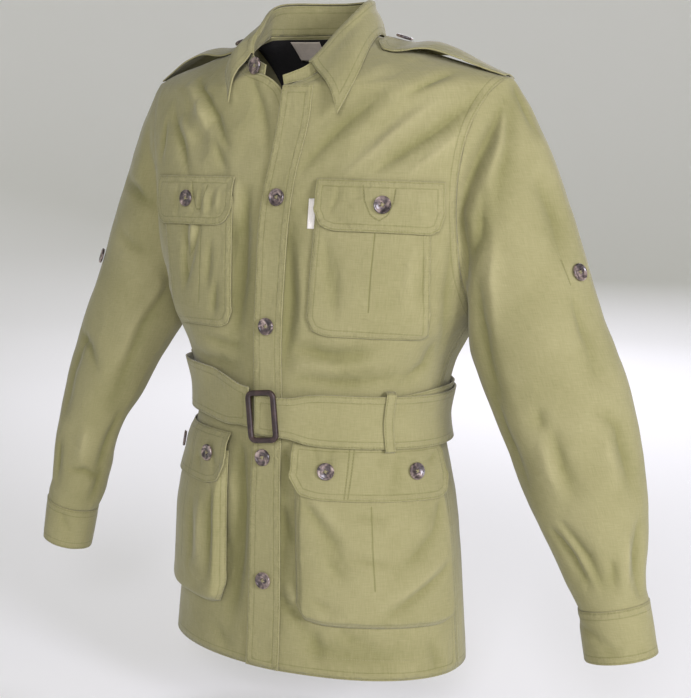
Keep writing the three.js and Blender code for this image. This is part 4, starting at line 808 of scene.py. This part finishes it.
for side, pocket_area, flap_area, seed in (("left", 19500, 7800, 4.7), ("right", 16600, 6800, 8.8)):
    points, faces = sew_cloth(
        "chest_pocket_" + side, folds=CHEST_FOLDS[side], pucker=0.35,
        drape=0.5, seed=seed, seams=CHEST_SEAMS[side])
    stitch(f"chest_pocket_{side}", points, faces, CLOSE_ROWS)
    points, faces = sew_cloth(
        "chest_flap_" + side, thick=1.4, folds=CHEST_FLAP_FOLDS[side],
        pucker=0.4, drape=0.4, seed=seed + 1, seams=CHEST_TAB_SEAMS[side])
    stitch(f"chest_flap_{side}", points, faces, (3.2,), seams=CHEST_TAB_SEAMS[side])

# Hip pockets: large bellows patches with a centre seam, under deep flaps with two
# buttons and a double seam down the middle.
HIP_FOLDS = {
    "left": ((7, -3.8, (52, -123, -496), (85, -117, -537), (98, -113, -564)),
             (6, 2.9, (61, -120, -493), (95, -113, -527)),
             (7, -3.5, (173, -46, -528), (162, -67, -551), (150, -82, -570)),
             (6, -4.2, (184, -31, -568), (160, -75, -601), (143, -91, -618)),
             (6, 2.9, (182, -32, -556), (161, -72, -588), (139, -93, -606)),
             (5, -2.9, (106, -110, -555), (127, -98, -559), (147, -84, -563)),
             (5, -2.2, (104, -107, -508), (122, -96, -511), (137, -87, -510)),
             (7, -3.2, (80, -120, -552), (99, -114, -580)), (6, -3.2, (171, -28, -493), (173, -46, -534)),
             (5, -2.6, (65, -125, -603), (93, -117, -615))),
    "right": ((7, -5.8, (-70, -123, -500), (-69, -127, -545), (-71, -127, -598)),
              (6, -3.8, (-103, -111, -518), (-103, -112, -589)),
              (6, 3.2, (-87, -118, -515), (-87, -120, -584)))}
HIP_FLAP_FOLDS = {
    "left": ((4, -2.2, (76, -111, -436), (74, -113, -456)), (4, -1.9, (124, -77, -436), (126, -85, -455)),
             (6, -2.6, (138, -66, -444), (138, -78, -477)), (4, -1.9, (57, -113, -434), (65, -117, -454)),
             (4, -1.9, (160, -25, -443), (159, -39, -455))),
    "right": ((4, -2.2, (-76, -113, -449), (-66, -122, -477)),
              (4, -1.9, (-102, -102, -459), (-92, -112, -482)))}
HIP_SEAMS = {"left": [[(120, -95, -498), (125, -98, -543), (130, -98, -589)]],
             "right": [[(-118, -100, -498), (-121, -100, -543), (-124, -98, -589)]]}
HIP_FLAP_SEAMS = {
    "left": [[(93, -98, -435), (95, -105, -458), (95, -111, -490)],
             [(97, -95, -435), (99, -103, -458), (99, -110, -490)]],
    "right": [[(-118, -98, -435), (-118, -105, -458), (-118, -111, -490)],
              [(-122, -95, -435), (-122, -103, -458), (-122, -110, -490)]]}
for side, pocket_area, flap_area, seed in (("left", 36500, 11800, 5.3), ("right", 33000, 10200, 9.9)):
    points, faces = sew_cloth(
        "hip_pocket_" + side, folds=HIP_FOLDS[side], pucker=0.4,
        drape=0.9, seed=seed, seams=HIP_SEAMS[side])
    stitch(f"hip_pocket_{side}", points, faces, CLOSE_ROWS)
    points, faces = sew_cloth(
        "hip_flap_" + side, thick=1.4, folds=HIP_FLAP_FOLDS[side],
        pucker=0.4, drape=0.5, seed=seed + 1, seams=HIP_FLAP_SEAMS[side])
    stitch(f"hip_flap_{side}", points, faces, (3.2,), seams=HIP_FLAP_SEAMS[side])

# Belt: a doubled band of the same cloth, with its free end lying beneath it, and the
# loops that hold it to the waist.
points, faces = sew_cloth("belt", thick=1.8, pucker=0.25, drape=0.4, seed=1.9)
stitch("belt", points, faces, CLOSE_ROWS)
sew_cloth("belt_tail", levels=2, pucker=0.2, drape=0.2, seed=2.2)
for name in ("left_front", "left_back", "right_back", "right_side"):
    points, faces = sew_cloth("belt_loop_" + name, pucker=0.1, drape=0.1,
                              seed=3.3, sharp=-1)
    stitch("belt_loop_" + name, points, faces, (1.9,))

# Buckle: an oblong frame with round corners, moulded in one piece in very dark brown.
# The belt's two ends meet in it.
BUCKLE_WIDE, BUCKLE_HIGH, BUCKLE_CORNER, BUCKLE_BAR, BUCKLE_DEEP = 38, 58, 9, 6.2, 4.6
BUCKLE_TILT = math.radians(7)
CORNER_STEPS, SECTION_SIDES, SQUARED_OFF = 8, 16, 0.6


def moulded(name, light, dark, rough, bump_size):
    """A moulded surface: two clouded tones under a soft gloss."""
    material, tree, shader = blank(name)
    at = node_in(tree, "ShaderNodeTexCoord").outputs["Object"]
    cloud = clouds(tree, at, bump_size, 5.0, roughness=0.65)
    bump = node_in(tree, "ShaderNodeBump", {"Height": cloud, "Strength": 0.25, "Distance": 0.3 * MM})
    tree.links.new(toned(tree, cloud, (0.35, dark), (0.68, light)), shader.inputs["Base Color"])
    tree.links.new(bump.outputs["Normal"], shader.inputs["Normal"])
    shader.inputs["Roughness"].default_value = rough
    return material


DARK_BUCKLE = moulded("dark buckle", from_srgb(66, 50, 46), from_srgb(34, 25, 24), 0.42, 160.0)


def buckle_frame():
    """Sweeps a rounded section round the frame's path."""
    path = []
    x, z = BUCKLE_WIDE / 2 - BUCKLE_CORNER, BUCKLE_HIGH / 2 - BUCKLE_CORNER
    inset = BUCKLE_CORNER - BUCKLE_BAR / 2
    for corner, (cx, cz) in enumerate(((x, z), (-x, z), (-x, -z), (x, -z))):
        for step in range(CORNER_STEPS + 1):
            a = math.pi / 2 * (corner + step / CORNER_STEPS)
            path.append((cx + inset * math.cos(a), cz + inset * math.sin(a), math.cos(a), math.sin(a)))
    sides = SECTION_SIDES
    points, faces = [], []
    for px, pz, ox, oz in path:
        for k in range(sides):
            a = 2 * math.pi * k / sides
            out, front = (math.copysign(abs(f(a)) ** SQUARED_OFF, f(a)) for f in (math.cos, math.sin))
            points.append((px + ox * out * BUCKLE_BAR / 2, -front * BUCKLE_DEEP / 2,
                           pz + oz * out * BUCKLE_BAR / 2))
    count = len(path)
    for i in range(count):
        for k in range(sides):
            a, b = i * sides + k, i * sides + (k + 1) % sides
            c, d = ((i + 1) % count) * sides + (k + 1) % sides, ((i + 1) % count) * sides + k
            faces += [(a, b, c), (a, c, d)]
    return np.array(points, float), np.array(faces)


low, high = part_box("belt_buckle")
points, faces = buckle_frame()
turn = np.array(Matrix.Rotation(-BUCKLE_TILT, 3, "Y"))
points = points @ turn.T * MM + np.array([(low.x + high.x) / 2, low.y + BUCKLE_DEEP / 2 * MM,
                                          (low.z + high.z) / 2])
buckle = add_mesh("buckle", points, faces)
buckle.data.materials.append(DARK_BUCKLE)
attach(buckle, "root")
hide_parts("belt_buckle")

# Buttons: turned discs of mottled imitation horn, dished inside a rim, with four
# holes, and sewn on through them with crossed khaki thread.
HOLE_RADIUS, HOLE_OUT = 1.0, 2.1
BUTTON_STEPS, BUTTON_TURN = 40, 0.7
STRAND_APART, STRAND_RADIUS, STRAND_SIDES = 0.45, 0.28, 6
BUTTON_SECTION = ((0, 0.2), (8.2, 0.2), (9.2, 0.9), (9.5, 1.7), (9.3, 2.6), (8.7, 3.15), (7.9, 3.15),
                  (7.2, 2.7), (6.2, 2.25), (0, 2.1))


def button_mesh():
    profile = bmesh.new()
    turns = BUTTON_STEPS
    rings = [[profile.verts.new((r * math.cos(2 * math.pi * k / turns) * MM,
                                 r * math.sin(2 * math.pi * k / turns) * MM, h * MM))
              for k in range(turns)] if r else [profile.verts.new((0, 0, h * MM))]
             for r, h in BUTTON_SECTION]
    for lower, upper in zip(rings, rings[1:]):
        for k in range(turns):
            n = (k + 1) % turns
            if len(lower) == 1:
                profile.faces.new((lower[0], upper[n], upper[k]))
            elif len(upper) == 1:
                profile.faces.new((lower[k], lower[n], upper[0]))
            else:
                profile.faces.new((lower[k], lower[n], upper[n], upper[k]))
    data = bpy.data.meshes.new("button")
    bmesh.ops.recalc_face_normals(profile, faces=profile.faces)
    profile.to_mesh(data)
    profile.free()
    disc = bpy.data.objects.new("disc", data)
    bpy.context.scene.collection.objects.link(disc)
    drill = bmesh.new()
    for k in range(4):
        a = math.pi / 2 * (k + 0.5)
        place = Matrix.Translation((HOLE_OUT * math.cos(a) * MM, HOLE_OUT * math.sin(a) * MM, 2 * MM))
        bmesh.ops.create_cone(drill, cap_ends=True, segments=14, radius1=HOLE_RADIUS * MM,
                              radius2=HOLE_RADIUS * MM, depth=8 * MM, matrix=place)
    drill_data = bpy.data.meshes.new("drill")
    drill.to_mesh(drill_data)
    drill.free()
    tool = bpy.data.objects.new("drill", drill_data)
    bpy.context.scene.collection.objects.link(tool)
    bore = disc.modifiers.new("holes", "BOOLEAN")
    bore.operation, bore.object, bore.solver = "DIFFERENCE", tool, "EXACT"
    bpy.context.view_layer.update()
    done = bpy.data.meshes.new_from_object(disc.evaluated_get(bpy.context.evaluated_depsgraph_get()))
    done.name = "four-hole button"
    for used in (disc, tool):
        bpy.data.objects.remove(used)
    done.shade_smooth()
    done.set_sharp_from_angle(angle=math.radians(38))
    return done


def thread_mesh():
    """Two crossed bars of thread, each of three strands, down into the holes."""
    made = bmesh.new()
    for a in (math.pi / 4, -math.pi / 4):
        for strand in (-STRAND_APART, 0, STRAND_APART):
            path = [(-HOLE_OUT - 0.1, 1.2), (-HOLE_OUT + 0.1, 2.35), (-0.9, 2.75), (0.9, 2.75),
                    (HOLE_OUT - 0.1, 2.35), (HOLE_OUT + 0.1, 1.2)]
            rings = []
            for along, high in path:
                ring = []
                for k in range(STRAND_SIDES):
                    t = 2 * math.pi * k / STRAND_SIDES
                    x, y, z = along, strand + STRAND_RADIUS * math.cos(t), high + STRAND_RADIUS * math.sin(t)
                    ring.append(made.verts.new(((x * math.cos(a) - y * math.sin(a)) * MM,
                                                (x * math.sin(a) + y * math.cos(a)) * MM, z * MM)))
                rings.append(ring)
            for lower, upper in zip(rings, rings[1:]):
                for k in range(STRAND_SIDES):
                    n = (k + 1) % STRAND_SIDES
                    made.faces.new((lower[k], lower[n], upper[n], upper[k]))
            made.faces.new(rings[0])
            made.faces.new(rings[-1])
    bmesh.ops.recalc_face_normals(made, faces=made.faces)
    data = bpy.data.meshes.new("button thread")
    made.to_mesh(data)
    made.free()
    data.shade_smooth()
    return data


def horn():
    """Brown, grey and pinkish clouds as in horn, different on each button."""
    material, tree, shader = blank("mottled horn")
    at = node_in(tree, "ShaderNodeTexCoord").outputs["Object"]
    own = node_in(tree, "ShaderNodeObjectInfo").outputs["Random"]
    cloud = node_in(tree, "ShaderNodeTexNoise", {"Vector": at, "Scale": 150.0, "Detail": 3.0,
                                                 "Distortion": 0.8}, noise_dimensions="4D")
    tree.links.new(maths(tree, "MULTIPLY", own, 20.0), cloud.inputs["W"])
    tones = ((0.36, (38, 31, 32)), (0.7, (176, 160, 148)), (0.48, (76, 66, 64)), (0.58, (128, 112, 104)))
    color = toned(tree, cloud.outputs["Fac"], *((place, from_srgb(*tone)) for place, tone in tones))
    tree.links.new(color, shader.inputs["Base Color"])
    shader.inputs["Roughness"].default_value = 0.28
    shader.inputs["Coat Weight"].default_value = 0.3
    return material


BUTTON, BUTTON_THREAD, HORN = button_mesh(), thread_mesh(), horn()
BUTTON.materials.clear()
BUTTON.materials.append(HORN)
BUTTON_THREAD.materials.append(THREAD)
SEWN_TO = {
    "front_1": "placket", "front_2": "placket", "front_3": "placket", "front_4": "placket",
    "chest_left": "chest_flap_left", "chest_right": "chest_flap_right",
    "hip_left_1": "hip_flap_left", "hip_left_2": "hip_flap_left",
    "hip_right_1": "hip_flap_right", "hip_right_2": "hip_flap_right",
    "epaulette_left": "epaulette_left", "epaulette_right": "epaulette_right",
    "tab_left": "sleeve_left", "tab_right": "sleeve_right",
    "cuff_left": "cuff_left", "cuff_right": "cuff_right", "neckband": "collar_stand"}
for number, (button, carrier) in enumerate(SEWN_TO.items()):
    corners = np.array([v.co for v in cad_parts["button_" + button].data.vertices])
    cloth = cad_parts[carrier].data
    cloth_tree = BVHTree.FromPolygons([v.co for v in cloth.vertices], [p.vertices for p in cloth.polygons])
    middle = (corners.min(0) + corners.max(0)) / 2
    axis = Vector(np.linalg.svd(corners - middle, full_matrices=False)[2][2])
    near, far = (cloth_tree.find_nearest(Vector(middle) + axis * way * 4 * MM)[3] for way in (-1, 1))
    if near > far:
        axis.negate()
    along = (corners - middle) @ np.array(axis)
    base = Vector(middle) + axis * float(along.min())
    spin = Matrix.Rotation(BUTTON_TURN * number, 4, "Z")
    place = Matrix.Translation(base) @ axis.to_track_quat("Z", "Y").to_matrix().to_4x4() @ spin
    for name, data in (("horn_button_" + button, BUTTON), ("button_thread_" + button, BUTTON_THREAD)):
        piece = bpy.data.objects.new(name, data)
        bpy.context.scene.collection.objects.link(piece)
        piece.matrix_world = place
        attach(piece, "root")
        if data is BUTTON:
            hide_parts("button_" + button)

# Labels: bare woven tapes of beige and white cotton, two sewn behind the neck and one
# caught in the chest pocket's edge.
BEIGE = woven("beige label", from_srgb(205, 195, 176), from_srgb(170, 160, 142), thread=0.35, dye=0.7,
              seam=0.4)
WHITE = woven("white label", from_srgb(236, 232, 220), from_srgb(205, 200, 188), thread=0.35, seam=0.4)
for node, cut, tape, finish in (("label_neck", (44, 22), BEIGE, "beige_label"),
                                ("label_size", (40, 15), WHITE, "white_label"),
                                ("label_pocket", (10, 30), WHITE, "white_label")):
    sew_cloth(node, levels=2, thick=0.5, pucker=0.05, drape=0.1, seed=1.1,
              material=tape)

# Studio: a pale dish as floor and backdrop in one, a pale sky, and soft lamps round the
# jacket, the strongest at the camera's right.
DISH = ((0, -0.78), (1.6, -0.78), (2.8, -0.76), (3.6, -0.66), (4.3, -0.44), (4.9, -0.08), (5.3, 0.4),
        (5.6, 1.1), (5.7, 2.0))
DISH_STEPS = 72
LAMPS_AIM = Vector((0, 0, -0.3))
turns = np.arange(DISH_STEPS) * math.tau / DISH_STEPS
rings = np.array([(r * math.cos(t), r * math.sin(t), z) for r, z in DISH[1:] for t in turns])
centre = len(rings)
dish_faces = [(centre, i, (i + 1) % DISH_STEPS) for i in range(DISH_STEPS)]
for row in range(len(DISH) - 2):
    for i in range(DISH_STEPS):
        near, side = row * DISH_STEPS + i, row * DISH_STEPS + (i + 1) % DISH_STEPS
        dish_faces += [(near, near + DISH_STEPS, side + DISH_STEPS), (near, side + DISH_STEPS, side)]
pale, _, shader = blank("pale floor")
for label, value in (("Base Color", (0.76, 0.76, 0.76, 1)), ("Roughness", 0.9),
                     ("Emission Color", (1.0, 1.0, 0.82, 1)), ("Emission Strength", 0.14)):
    shader.inputs[label].default_value = value
floor = add_mesh("floor", np.vstack([rings, (0, 0, DISH[0][1])]), np.array(dish_faces))
floor.data.materials.append(pale)
floor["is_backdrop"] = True
sky = bpy.data.worlds.new("studio")
sky.use_nodes = True
sky.node_tree.nodes["Background"].inputs["Color"].default_value = (1.0, 1.0, 0.82, 1)
sky.node_tree.nodes["Background"].inputs["Strength"].default_value = 0.18
bpy.context.scene.world = sky
for name, turn, height, away, power, size in (("front lamp", -66, 0.7, 3.2, 54, 1.0),
                                              ("side lamp", -24, 0.4, 3.2, 70, 0.8),
                                              ("back lamp", 105, 1.4, 3.2, 70, 1.6)):
    lamp = bpy.data.objects.new(name, bpy.data.lights.new(name, "AREA"))
    lamp.data.energy, lamp.data.size = power, size
    lamp.data.color = (1.0, 0.98, 1.14)
    lamp.location = (away * math.cos(math.radians(turn)), away * math.sin(math.radians(turn)), height)
    lamp.rotation_euler = (LAMPS_AIM - lamp.location).to_track_quat("-Z", "Y").to_euler()
    lamp.visible_camera = False
    bpy.context.scene.collection.objects.link(lamp)
bpy.context.scene.view_settings.view_transform = "Standard"

low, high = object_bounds()
